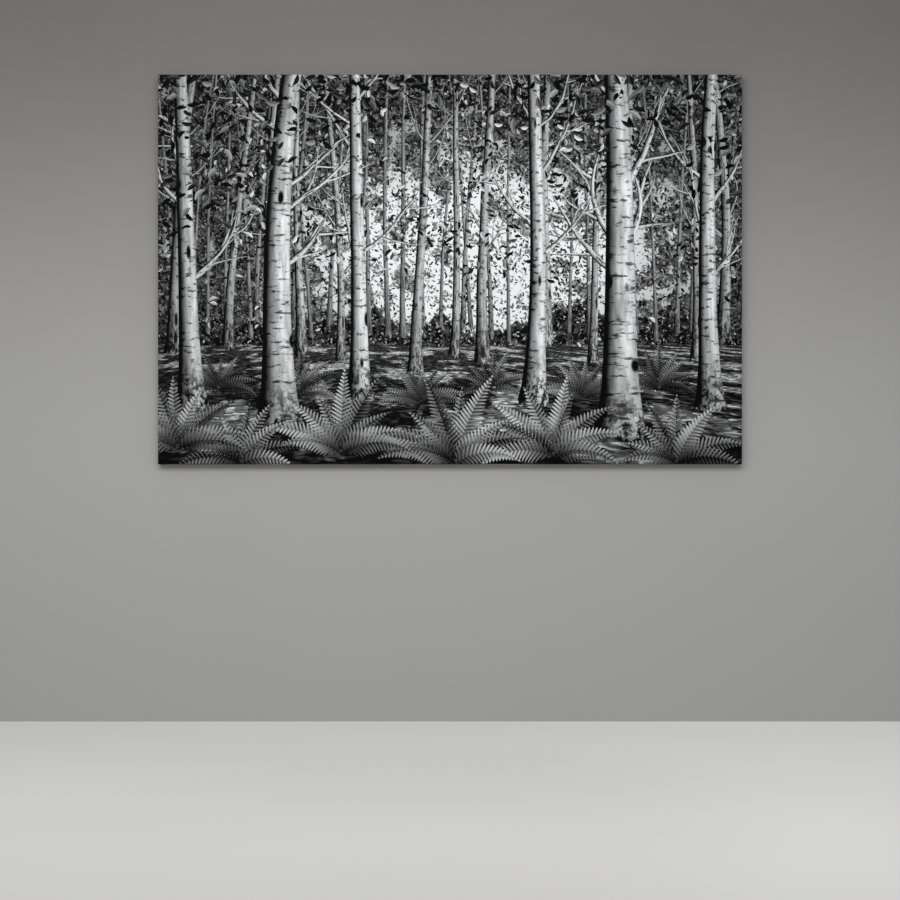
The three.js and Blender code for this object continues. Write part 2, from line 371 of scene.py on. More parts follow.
printed_front = front_points(*FRONT_CELLS, 0)
printed_ring = ring_points(rim, rows, 0)
print("printed shell", len(printed_front) + len(printed_ring), "points")

# %% [markdown]
# The raw side is seen only from behind. Its front has one cell for ten of the printed side's. Its border
# points are every tenth point of the ring, and each border cell is a face that takes in the points
# between, which closes the shell without a long ring of slivers.

# %% The raw shell
raw_cells = (FRONT_CELLS[0] // RAW_EVERY, FRONT_CELLS[1] // RAW_EVERY)
raw_rows = np.append(wrap_rows(turns=2, sides=1, flaps=1)[::-1], 0)
raw_ring = ring_points(rim, raw_rows, THICK)
raw_middle = front_points(*raw_cells, THICK).reshape(raw_cells[1] + 1, raw_cells[0] + 1, 3)
raw_middle = raw_middle[1:-1, 1:-1].reshape(-1, 3)
print("raw shell", len(raw_ring) + len(raw_middle), "points")


def raw_faces(first_middle, edge_ring):
    """Faces of the coarse raw front, facing +Y, from the number of its first inner point and the numbers
    of the points of the ring round it."""
    cells_x, cells_z = raw_cells
    grid = np.zeros((cells_z + 1, cells_x + 1), int)
    grid[1:-1, 1:-1] = first_middle + np.arange(len(raw_middle)).reshape(cells_z - 1, -1)
    sides = np.split(edge_ring[::RAW_EVERY], np.cumsum([cells_x, cells_z, cells_x]))
    grid[0, :-1], grid[:-1, -1], grid[-1, :0:-1], grid[:0:-1, 0] = sides
    place = {int(number): k for k, number in enumerate(edge_ring)}
    faces = []
    for corners in grid.ravel()[grid_faces(cells_x, cells_z)]:
        face = []
        for a, b in zip(corners, np.roll(corners, -1)):
            face.append(int(a))
            if a in place and b in place and (place[b] - place[a]) % len(edge_ring) == RAW_EVERY:
                face += edge_ring[place[a] + 1 : place[a] + RAW_EVERY].tolist()
        faces.append(face[::-1])
    return faces


# %% The closed cloth
def cloth_shell():
    """Joins the printed and raw shells into one closed cloth. Returns its points and its faces in four
    groups: the printed front, the printed ring, the raw ring and the raw front."""
    points = np.concatenate([printed_front, printed_ring, raw_ring, raw_middle])
    first = np.cumsum([len(printed_front), len(printed_ring), len(raw_ring)])
    outer = np.arange(first[0], first[1]).reshape(len(rows), -1)
    outer = np.concatenate([rim_numbers(*FRONT_CELLS)[None, :], outer])
    inner = np.arange(first[1], first[2]).reshape(len(raw_rows), -1)
    groups = [
        grid_faces(*FRONT_CELLS).tolist(),
        band_faces(outer).tolist(),
        band_faces(np.concatenate([outer[-1:], inner])).tolist(),
        raw_faces(first[2], inner[-1]),
    ]
    return points, groups


cloth_points, cloth_groups = cloth_shell()
print("cloth", len(cloth_points), "points,", [len(group) for group in cloth_groups], "faces")


# %% [markdown]
# ## The printed design
# The print is a monochrome picture of a wood of straight pale trunks, with leaves against the light, a
# bright clearing and ferns. An image would be the usual way, but it blurs close up. So the design is
# drawn in two steps. numpy works out which trunks, branches and fern fronds touch each face of the cloth,
# and where the corners of the face lie on them: how far across, how far along, and how wide the stem is
# there. Those numbers run nearly straight from corner to corner, so the shader can cut sharp edges out of
# them inside a face, and adds bark, leaflets and leaves in finer detail than any grid holds. On the
# sides the design runs on as its own mirror image, as printers do so that nothing is cropped.

# %% Where each face lies on the flat cloth, and in the design
SIDE_CELLS = FRONT_CELLS * 2  # bottom, right, top, left
LEVEL = np.repeat([True, False, True, False], SIDE_CELLS)
OUTWARDS = np.repeat([-1, 1, 1, -1], SIDE_CELLS)
HALF_SIZE = np.array([WIDTH, HEIGHT]) / 2


def flat_band(rings, beyond):
    """The flat places of the corners of a band's faces. rings holds its points, row by row round the
    outline, and beyond how far outside the picture's edge each row lies when the cloth is flat. Along
    its own side of the picture a point keeps its place."""
    numbers = band_faces(np.arange(rings.size // 3).reshape(len(beyond), -1))
    x, _, z = np.moveaxis(rings.reshape(-1, 3)[numbers], -1, 0)
    level = np.tile(LEVEL, len(beyond) - 1)[:, None]
    outwards = np.tile(OUTWARDS, len(beyond) - 1)[:, None]
    out = beyond[numbers // len(rim)]
    flat_x = np.where(level, x - CENTRE[0], outwards * (HALF_SIZE[0] + out))
    flat_z = np.where(level, outwards * (HALF_SIZE[1] + out), z - CENTRE[1])
    return np.stack([flat_x, flat_z], -1)


def mirrored(distance):
    """How far outside the picture's edge the design of a point lies that is distance past the flat
    front. Past the middle of the front bend the design turns back on itself, as in a mirror."""
    return QUARTER / 2 - BEND - np.abs(distance - QUARTER / 2)


printed_rows = np.append(0, rows)
rim_points = printed_front[rim_numbers(*FRONT_CELLS)]
printed_rings = np.concatenate([rim_points, printed_ring])
front_corners = printed_front[grid_faces(*FRONT_CELLS)][..., [0, 2]] - CENTRE
design_corners = np.concatenate([front_corners, flat_band(printed_rings, mirrored(printed_rows))])
sheet_corners = np.concatenate([front_corners, flat_band(printed_rings, printed_rows - BEND)])
ring_numbers = np.arange(printed_rings.size // 3).reshape(len(printed_rows), -1)
past_rows = printed_rows[band_faces(ring_numbers) // len(rim)]
past_corners = np.concatenate([np.zeros(front_corners.shape[:2]), past_rows])
print("design on", len(design_corners), "faces")


# %% A path that grows step by step
def grow(start, heading, length, steps, curl, wander, rng):
    """A path from start. Each step turns by an even share of curl and by a little chance, in radians."""
    turns = curl / steps + rng.normal(0, wander, steps)
    angles = heading + np.cumsum(turns)
    moves = np.stack([np.cos(angles), np.sin(angles)], 1) * (length / steps)
    return np.concatenate([[start], np.asarray(start) + np.cumsum(moves, axis=0)])


# %% Measure one stem at some points
def measure_stem(points, path, radius, start):
    """A stem is a path, a radius at each of its points, and the distance along it that its start counts
    as. Returns for each point the signed distance across the stem, the distance along it and its radius
    there, and how far the point lies from its surface. The distance to a path is the least of the
    distances to its straight pieces."""
    told = np.zeros((len(points), 3))
    gap = np.full(len(points), np.inf)
    for a, b, ra, rb in zip(path, path[1:], radius, radius[1:]):
        piece = b - a
        length = float(np.hypot(*piece))
        share = np.clip((points - a) @ piece / length**2, 0, 1)
        offset = points - a - share[:, None] * piece
        away = np.hypot(offset[:, 0], offset[:, 1])
        here = ra + (rb - ra) * share
        side = np.sign(piece[0] * offset[:, 1] - piece[1] * offset[:, 0])
        nearer = away - here < gap
        told[nearer] = np.stack([side * away, start + share * length, here], 1)[nearer]
        gap[nearer] = (away - here)[nearer]
        start += length
    return told, gap


# %% [markdown]
# Inside a face the shader interpolates between the corners, which only works where all four tell of the
# same stem. So the numbers are kept face by face, in a few slots: each face keeps the first few stems
# that touch it, each with its numbers at the four corners. The stems come in the order in which they
# cover each other, the topmost first.

# %% Deal the stems out to the faces they touch
def deal_out(corners, stems, slots, measure):
    """corners is faces x corners x (x, z), and measure tells a stem's numbers at some points. Returns
    slots x faces x corners x (across, along, radius, number). The number counts from 1, and is 0 in an
    empty slot."""
    middles = corners.mean(axis=1)
    reach = np.hypot(*(corners - middles[:, None]).reshape(-1, 2).T).max()
    kept = np.zeros((slots, len(corners), 4, 4), np.float32)
    taken = np.zeros(len(corners), int)
    left_over = 0
    for number, (path, radius, rest) in enumerate(stems, start=1):
        border = radius.max() + reach
        inside = (middles > path.min(axis=0) - border) & (middles < path.max(axis=0) + border)
        near = np.flatnonzero(inside.all(axis=1))
        told, gap = measure(corners[near].reshape(-1, 2), path, radius, rest)
        touched = gap.reshape(-1, 4).min(axis=1) < reach
        left_over += int((touched & (taken[near] >= slots)).sum())
        touched &= taken[near] < slots
        hit = near[touched]
        kept[taken[hit], hit, :, :3] = told.reshape(-1, 4, 3)[touched]
        kept[taken[hit], hit, :, 3] = number
        taken[hit] += 1
    print("slots", slots, "stems", len(stems), "faces without room", left_over)
    return kept


# %% Trunks and their branches
TREE_TOP = 0.56 * HEIGHT  # where trunks end, above the design's middle: past the top edge and its side
TAPER = 0.42  # the share of its radius that a trunk loses on the way up
FLARE = 0.8  # the share by which its foot is wider
FLARE_STEPS = 1.1  # the flare fades by two thirds in this many steps


def trunk(foot, radius, lean, rng, steps=14):
    """A trunk from its foot to past the top edge, thinner upwards and flared at the foot. It leans, and
    bends back a little more than it leans."""
    height = TREE_TOP - foot[1]
    path = grow(foot, math.pi / 2 + lean, height, steps, curl=-1.4 * lean, wander=0.018, rng=rng)
    share = np.linspace(0, 1, steps + 1)
    flare = FLARE * np.exp(-share * steps / FLARE_STEPS)
    return path, radius * (1 - TAPER * share + flare), 0.0


def branches(stem, count, reach, first_side, rng, lowest=0.35):
    """Branches off a trunk to either side in turn, rising and curling up, each with three twigs. Their
    length counts from 1, so that only a trunk has a foot."""
    path, radius, _ = stem
    made = []
    for k in range(count):
        at = int(rng.uniform(lowest, 0.95) * (len(path) - 1))
        side = 1 if (k + first_side) % 2 else -1
        heading = math.pi / 2 - side * rng.uniform(0.6, 1.15)
        length = reach * rng.uniform(0.6, 1.2)
        limb = grow(path[at], heading, length, steps=9, curl=side * 0.55, wander=0.09, rng=rng)
        thick = radius[at] * rng.uniform(0.22, 0.36)
        made.append((limb, np.linspace(thick, thick * 0.25, 10), 1.0))
        for fork in (3, 5, 7):
            turn = side * rng.choice([-1, 1]) * rng.uniform(0.4, 0.8)
            start, way = limb[fork], heading + turn
            twig = grow(start, way, length * 0.45, steps=6, curl=-turn * 0.5, wander=0.1, rng=rng)
            made.append((twig, np.linspace(thick * 0.5, thick * 0.14, 7), 1.0))
    return made


def wood(rng, feet, radii, lean, count, reach):
    """A layer of the wood: a trunk at each foot, and then all their branches, which lie under them."""
    trunks = [trunk(foot, radius, rng.normal(0, lean), rng) for foot, radius in zip(feet, radii)]
    limbs = []
    for number, stem in enumerate(trunks):
        limbs += branches(stem, count, reach, number, rng)
    return trunks + limbs


def spread_feet(rng, count, ground, uneven):
    """Feet spaced along the width, each moved by chance, at about the height ground."""
    x = (np.arange(count) + 0.5 + rng.uniform(-0.34, 0.34, count)) / count - 0.5
    return np.stack([x * WIDTH * 1.04, ground + rng.normal(0, uneven, count)], 1)


GROUND = -0.36 * HEIGHT / 2  # where the far trunks stand, above the design's middle
rng = np.random.default_rng(11)
near_feet = [(-1.06, -0.60), (-0.70, -0.69), (-0.37, -0.56), (0.34, -0.58), (0.70, -0.72), (1.07, -0.60)]
near_radii = [0.044, 0.066, 0.036, 0.040, 0.074, 0.042]
near_stems = wood(rng, near_feet, near_radii, lean=0.03, count=5, reach=0.42)
middle_feet = spread_feet(rng, 13, ground=GROUND - 0.09, uneven=0.035)
middle_radii = rng.uniform(0.014, 0.026, 13)
middle_stems = wood(rng, middle_feet, middle_radii, lean=0.03, count=4, reach=0.26)
far_feet = spread_feet(rng, 34, ground=GROUND, uneven=0.02)
far_radii = rng.uniform(0.006, 0.011, 34)
far_stems = wood(rng, far_feet, far_radii, lean=0.025, count=1, reach=0.16)
print("stems", len(near_stems), len(middle_stems), len(far_stems))


# %% Measure one frond at some points
FROND_OPENING = 0.19  # half a frond's width at its widest, as a share of its length, if it didn't narrow
STALK_RADIUS = 1.5 * MM


def frond_width(along, length):
    """Half a frond's width: it opens from the root, narrows to its tip, and is cut off past its ends."""
    share = np.clip(along / length, 0, 1)
    beyond = np.clip(np.maximum(-along, along - length), 0, None)
    return FROND_OPENING * length * np.clip(4 * share, 0, 1) * (1 - share**1.6) + STALK_RADIUS - beyond


def measure_frond(points, path, half, arc):
    """The stalk is an arc of a circle, so a point's numbers come from its place about the centre: across
    the frond is the circle's radius less the distance from the centre, and along it is the radius times
    the angle from the root. arc is the root, the heading there, the length and the turn in all, and takes
    the place of path and half. Returns the same numbers as measure_stem."""
    root, heading, length, turn = arc
    radius = length / turn
    centre = root + radius * np.array([-math.sin(heading), math.cos(heading)])
    from_centre = points - centre
    away = np.hypot(from_centre[:, 0], from_centre[:, 1])
    angle = np.arctan2(from_centre[:, 1], from_centre[:, 0]) - np.arctan2(*(root - centre)[::-1])
    across = radius - math.copysign(1, radius) * away
    along = radius * (np.mod(angle + math.pi, 2 * math.pi) - math.pi)
    width = frond_width(along, length)
    return np.stack([across, along, width], 1), np.abs(across) - width


# %% Fern fronds
STALK_POINTS = 13  # points of a stalk that tell which faces are near it


def fern(root, count, length, rng):
    """A tuft of fronds that rise from one root and arch over to both sides. The lowest come first, since
    they lie in front. Each keeps some points of its stalk, its half widths there, and its arc."""
    fronds = []
    for share in sorted(np.linspace(-0.9, 0.9, count), key=lambda value: -abs(value)):
        heading = math.pi / 2 - share * 1.15 + rng.normal(0, 0.08)
        reach = length * rng.uniform(0.8, 1.15)
        turn = -1.3 * share - 0.08
        angle = heading + turn * np.linspace(0, 1, STALK_POINTS)
        run = np.sin(angle) - np.sin(angle[0])
        rise = np.cos(angle[0]) - np.cos(angle)
        path = np.stack([run, rise], 1) * reach / turn
        half = frond_width(np.linspace(0, reach, STALK_POINTS), reach)
        fronds.append((path + root, half, (np.array(root), heading, reach, turn)))
    return fronds


def ferns(roots, count, shortest, longest, rng):
    """The fronds of a tuft at each root."""
    tufts = [fern(root, count, rng.uniform(shortest, longest), rng) for root in roots]
    return [frond for tuft in tufts for frond in tuft]


near_roots = [(-1.12, -0.74), (-0.86, -0.80), (-0.45, -0.76), (0.02, -0.80), (0.42, -0.77), (0.93, -0.80)]
far_roots = [(-0.95, -0.5), (-0.62, -0.52), (-0.12, -0.55), (0.18, -0.5), (0.55, -0.53), (0.86, -0.5)]
near_ferns = ferns(near_roots, count=9, shortest=0.26, longest=0.36, rng=rng)
far_ferns = ferns(far_roots, count=9, shortest=0.15, longest=0.20, rng=rng)
print("fronds", len(near_ferns) + len(far_ferns))

# %% The layers of the design on the faces of the cloth
LAYERS = {
    "near": (near_stems, 3, measure_stem),
    "middle": (middle_stems, 4, measure_stem),
    "far": (far_stems, 3, measure_stem),
    "near_fern": (near_ferns, 5, measure_frond),
    "far_fern": (far_ferns, 5, measure_frond),
}


def draw(corners):
    """All the layers on these faces: layer and slot to faces x corners x four numbers."""
    drawn = {}
    for name, (stems, slots, measure) in LAYERS.items():
        for k, values in enumerate(deal_out(corners, stems, slots, measure)):
            drawn[f"{name}_{k}"] = values
    return drawn


# %% [markdown]
# ## Leaves in the shader
# A leaf is too small for the grid, and a wood has a hundred thousand of them. Noise alone would give
# clouds with no leaf in them. A Voronoi texture gives each cell of the plane its own centre and its own
# random colour. The place inside the cell, turned by a random angle, is cut out as a pointed oval, so
# each cell holds one leaf. Several such layers of different sizes make the foliage, each covering only
# part of what is behind it.

# %% A node group for one layer of leaves
def leaf_layer_group():
    """Inputs: the place, the leaf spacing, a seed, the share of cells that hold a leaf, and how wide a
    leaf is. Outputs: 1 inside a leaf, and a tone from 0 to 1 that differs from leaf to leaf. With x along
    a leaf from its middle, its half length h and its half width w, a point lies inside where its distance
    from the bowed midrib is under w (1 - x² / h²). The half past the midrib is lighter."""
    inputs = {"Place": "Vector", "Size": "Float", "Seed": "Float", "Cover": "Float", "Width": "Float"}
    tree = new_group("leaf_layer", inputs, ("Mask", "Tone"))
    g = Graph(tree)
    given = tree.nodes.new("NodeGroupInput").outputs
    scaled = g.vector("DIVIDE", given["Place"], given["Size"])
    shifted = g.vector("ADD", scaled, g.join(given["Seed"], given["Seed"]))
    cells = g.add("TexVoronoi", {"voronoi_dimensions": "2D"}, Vector=shifted, Scale=1.0)
    chance = g.parts(cells.outputs["Color"])
    offset = g.vector("SUBTRACT", shifted, cells.outputs["Position"])
    angle = g.math("MULTIPLY", chance[0], 2 * math.pi)
    turned = g.add("VectorRotate", {"rotation_type": "Z_AXIS"}, Vector=offset, Angle=angle)
    x, y = g.split(turned.outputs[0], "xy")
    half = g.math("MULTIPLY_ADD", chance[1], 0.22, 0.42)
    stretch = g.math("DIVIDE", x, half)
    round_off = g.math("SUBTRACT", 1.0, g.math("MULTIPLY", stretch, stretch))
    bowed = g.math("ADD", y, g.math("MULTIPLY", g.math("MULTIPLY", x, x), 0.45))
    inside = g.math("SUBTRACT", g.math("MULTIPLY", round_off, given["Width"]), g.math("ABSOLUTE", bowed))
    shape = g.math("GREATER_THAN", inside, 0.0)
    held = g.math("LESS_THAN", chance[2], given["Cover"])
    halves = g.math("MULTIPLY", g.math("GREATER_THAN", bowed, 0.0), 0.16)
    mixed = g.math("FRACT", g.math("MULTIPLY_ADD", chance[1], 5.7, g.math("MULTIPLY", chance[0], 3.1)))
    tone = g.math("MULTIPLY_ADD", mixed, 0.84, halves)
    out = tree.nodes.new("NodeGroupOutput")
    g.feed(out.inputs["Mask"], g.math("MULTIPLY", shape, held))
    g.feed(out.inputs["Tone"], tone)
    return tree


leaf_layer = leaf_layer_group()
print("leaf layer", len(leaf_layer.nodes), "nodes")


# %% [markdown]
# ## Trunks, ferns and ground in the shader
# Each piece of the design is a tone from 0, black, to 1, white, and a mask that says where it covers what
# lies behind it. They could be added up as light is, but paint covers what is under it. So the tones are
# mixed from the back to the front, as a painter would.

# %% A value that waits
HARDLY = 1e-6


def waiting(g, below, value):
    """The value, changed by next to nothing so that it hangs on the tone below. The renderer works out
    everything it can at once and keeps it all, and has too little room for every layer together, so
    each layer is made to wait for the one that it covers."""
    return g.math("MULTIPLY_ADD", below, HARDLY, value)


# %% Find the stem that shows
def shown_stem(g, name):
    """Goes through a layer's slots from the lowest to the topmost stem. Returns 1 where any stem covers
    the point, and the place (across, along, radius) and the number of the topmost one there."""
    covered, place, number = 0.0, (0, 0, 0, 0), 0.0
    for k in reversed(range(LAYERS[name][1])):
        here = g.attribute(f"{name}_{k}")["Color"]
        across, _, radius = g.parts(here)
        inside = g.math("LESS_THAN", g.math("ABSOLUTE", across), radius)
        covered = g.math("MAXIMUM", covered, inside)
        place = g.mix_colour(inside, place, here)
        number = g.mix(inside, number, g.attribute(f"{name}_{k}_number")["Fac"])
    return covered, place, number


# %% Bark with the light across it
LEAST_WIDTH = 1e-4  # a stem or a frond counts as at least this wide, so that nothing is divided by zero


def add_stems(g, below, name, dark, bright, seed, bark=1.0):
    """Lays a layer of stems over a tone. The light falls across the round stem from the right, and the
    bark has short level marks, dark scars, and a rough dark foot that ends ragged, in litter. u is the
    place across the stem, from -1 to 1, and own is a number that no other stem has."""
    covered, place, number = shown_stem(g, name)
    across, along, radius = g.parts(place)
    own = waiting(g, below, g.math("MULTIPLY_ADD", number, 7.3, seed))
    litter = g.noise(g.join(g.math("MULTIPLY", across, 70.0), own), 1.0, 3.0)
    above = g.math("GREATER_THAN", along, g.math("MULTIPLY_ADD", litter, 0.07, -0.01))
    mask = g.math("MULTIPLY", covered, above)
    u = g.math("DIVIDE", across, g.math("MAXIMUM", radius, LEAST_WIDTH))
    face = g.math("SQRT", g.math("MAXIMUM", g.math("SUBTRACT", 1.0, g.math("MULTIPLY", u, u)), 0.0))
    lit = g.math("MULTIPLY_ADD", u, -0.52, g.math("MULTIPLY", face, 0.74), clamp=True)
    tone = g.math("MULTIPLY_ADD", lit, bright - dark, dark)
    marks_at = g.join(g.math("MULTIPLY", u, 0.8), g.math("MULTIPLY", along, 46.0), own)
    marks = g.between(g.noise(marks_at, 1.3, 3.0, 0.62, flat=False), 0.53, 0.66)
    scars_at = g.join(g.math("MULTIPLY", u, 0.75), g.math("MULTIPLY", along, 6.5), own)
    scars = g.between(g.cells_3d(scars_at), 0.24, 0.12)
    foot = g.between(along, 0.30, 0.02)
    cracks_at = g.join(u, g.math("MULTIPLY", along, 9.0), own)
    rough = g.between(g.noise(cracks_at, 3.2, 4.0, 0.7, flat=False), 0.42, 0.6)
    cracked = g.math("MULTIPLY", foot, rough)
    worst = g.math("MAXIMUM", g.math("MAXIMUM", g.math("MULTIPLY", marks, 0.72), scars), cracked)
    kept = g.math("SUBTRACT", 1.0, g.math("MULTIPLY", worst, 0.86 * bark))
    mottled = g.noise(g.join(u, g.math("MULTIPLY", along, 3.0), own), 2.1, 4.0, 0.6, flat=False)
    soft = g.between(mottled, 0.25, 0.75, 0.72, 1.14)
    return g.mix(mask, below, g.math("MULTIPLY", g.math("MULTIPLY", tone, kept), soft))


# %% A node group for one frond with its leaflets
GOLDEN = 0.618034  # its multiples spread evenly between whole numbers
LEAFLET_LEAN = 0.55  # how far towards the tip a leaflet's end lies, for each step outwards
LEAFLET_HALF = 0.43  # half a leaflet's width where it leaves the stalk, as a share of the spacing
STALK_HALF = 0.12  # half the stalk's width, as a share of the spacing


def frond_group():
    """Inputs: the place on the frond (across, along, half width), its number and the leaflet spacing.
    Outputs: 1 on a leaflet or the stalk, and the light there, dimmed near the root. The leaflets are the
    teeth of a saw that leans towards the tip, each narrower further out, along a thin stalk."""
    tree = new_group("frond", {"Place": "Color", "Number": "Float", "Spacing": "Float"}, ("Mask", "Light"))
    g = Graph(tree)
    given = tree.nodes.new("NodeGroupInput").outputs
    across, along, half = g.parts(given["Place"])
    out = g.math("ABSOLUTE", across)
    share = g.math("DIVIDE", out, g.math("MAXIMUM", half, LEAST_WIDTH))
    lean = g.math("SUBTRACT", along, g.math("MULTIPLY", out, LEAFLET_LEAN))
    step = g.math("DIVIDE", lean, given["Spacing"])
    tooth = g.math("ABSOLUTE", g.math("SUBTRACT", g.math("FRACT", step), 0.5))
    room = g.math("MULTIPLY", g.math("SUBTRACT", 1.0, g.math("MULTIPLY", share, share)), LEAFLET_HALF)
    leaflet = g.math("LESS_THAN", tooth, room)
    stalk = g.math("LESS_THAN", out, g.math("MULTIPLY", given["Spacing"], STALK_HALF))
    inside = g.math("LESS_THAN", out, half)
    own = g.math("FRACT", g.math("MULTIPLY", given["Number"], GOLDEN))
    side = g.math("MULTIPLY", g.math("GREATER_THAN", across, 0.0), 0.22)
    rounded = g.math("MULTIPLY", g.math("SUBTRACT", LEAFLET_HALF, tooth), 0.9)
    far_out = g.math("MULTIPLY_ADD", share, 0.2, -0.1)
    light = g.math("ADD", g.math("MULTIPLY_ADD", own, 0.5, side), g.math("ADD", rounded, far_out), clamp=True)
    rooted = g.between(along, 0.0, 0.16, 0.35, 1.0)
    result = tree.nodes.new("NodeGroupOutput")
    g.feed(result.inputs["Mask"], g.math("MULTIPLY", g.math("MAXIMUM", leaflet, stalk), inside))
    g.feed(result.inputs["Light"], g.math("MULTIPLY", light, rooted))
    return tree


frond = frond_group()
print("frond", len(frond.nodes), "nodes")


# %% Fronds over each other
def add_fronds(g, below, name, spacing, dark, bright):
    """Lays a layer of fronds over a tone."""
    for k in reversed(range(LAYERS[name][1])):
        place = g.attribute(f"{name}_{k}")["Color"]
        number = g.attribute(f"{name}_{k}_number")["Fac"]
        node = g.add("Group", {"node_tree": frond}, Place=place, Number=number, Spacing=spacing)
        light = g.math("MULTIPLY_ADD", node.outputs["Light"], bright - dark, dark)
        below = g.mix(node.outputs["Mask"], below, light)
    return below


# %% The whole design as one tone
HORIZON = GROUND + 0.10  # the eye's level in the design, above its middle
FORESHORTEN = 2.2  # how much flatter than wide the ground's pattern looks at the bottom edge
PRINT_RANGE = (0.10, 0.92)  # tones below and above these print as black and as white
# Layers of leaves, each with the leaf spacing, a seed, and the tones of the darkest and the lightest leaf.
SKY_LEAVES = [(0.013, 5.0, 0.22, 1.00), (0.015, 23.0, 0.06, 0.72), (0.018, 17.0, 0.12, 0.98)]
HEDGE_LEAVES = [(0.011, 211.0, 0.03, 0.66), (0.014, 223.0, 0.03, 0.92)]
FAR_LEAVES = [(0.021, 83.0, 0.03, 0.50), (0.024, 97.0, 0.10, 0.95)]
NEAR_LEAVES = [(0.031, 113.0, 0.02, 0.40), (0.036, 131.0, 0.08, 0.98)]
CORNER_LEAVES = [(0.046, 163.0, 0.00, 0.25), (0.054, 173.0, 0.03, 0.72)]
# The same for the leaves on the ground, with the share of cells that hold one in place of the tones.
GROUND_LEAVES = [(0.060, 41.0, 0.80), (0.070, 59.0, 0.75), (0.085, 71.0, 0.60)]


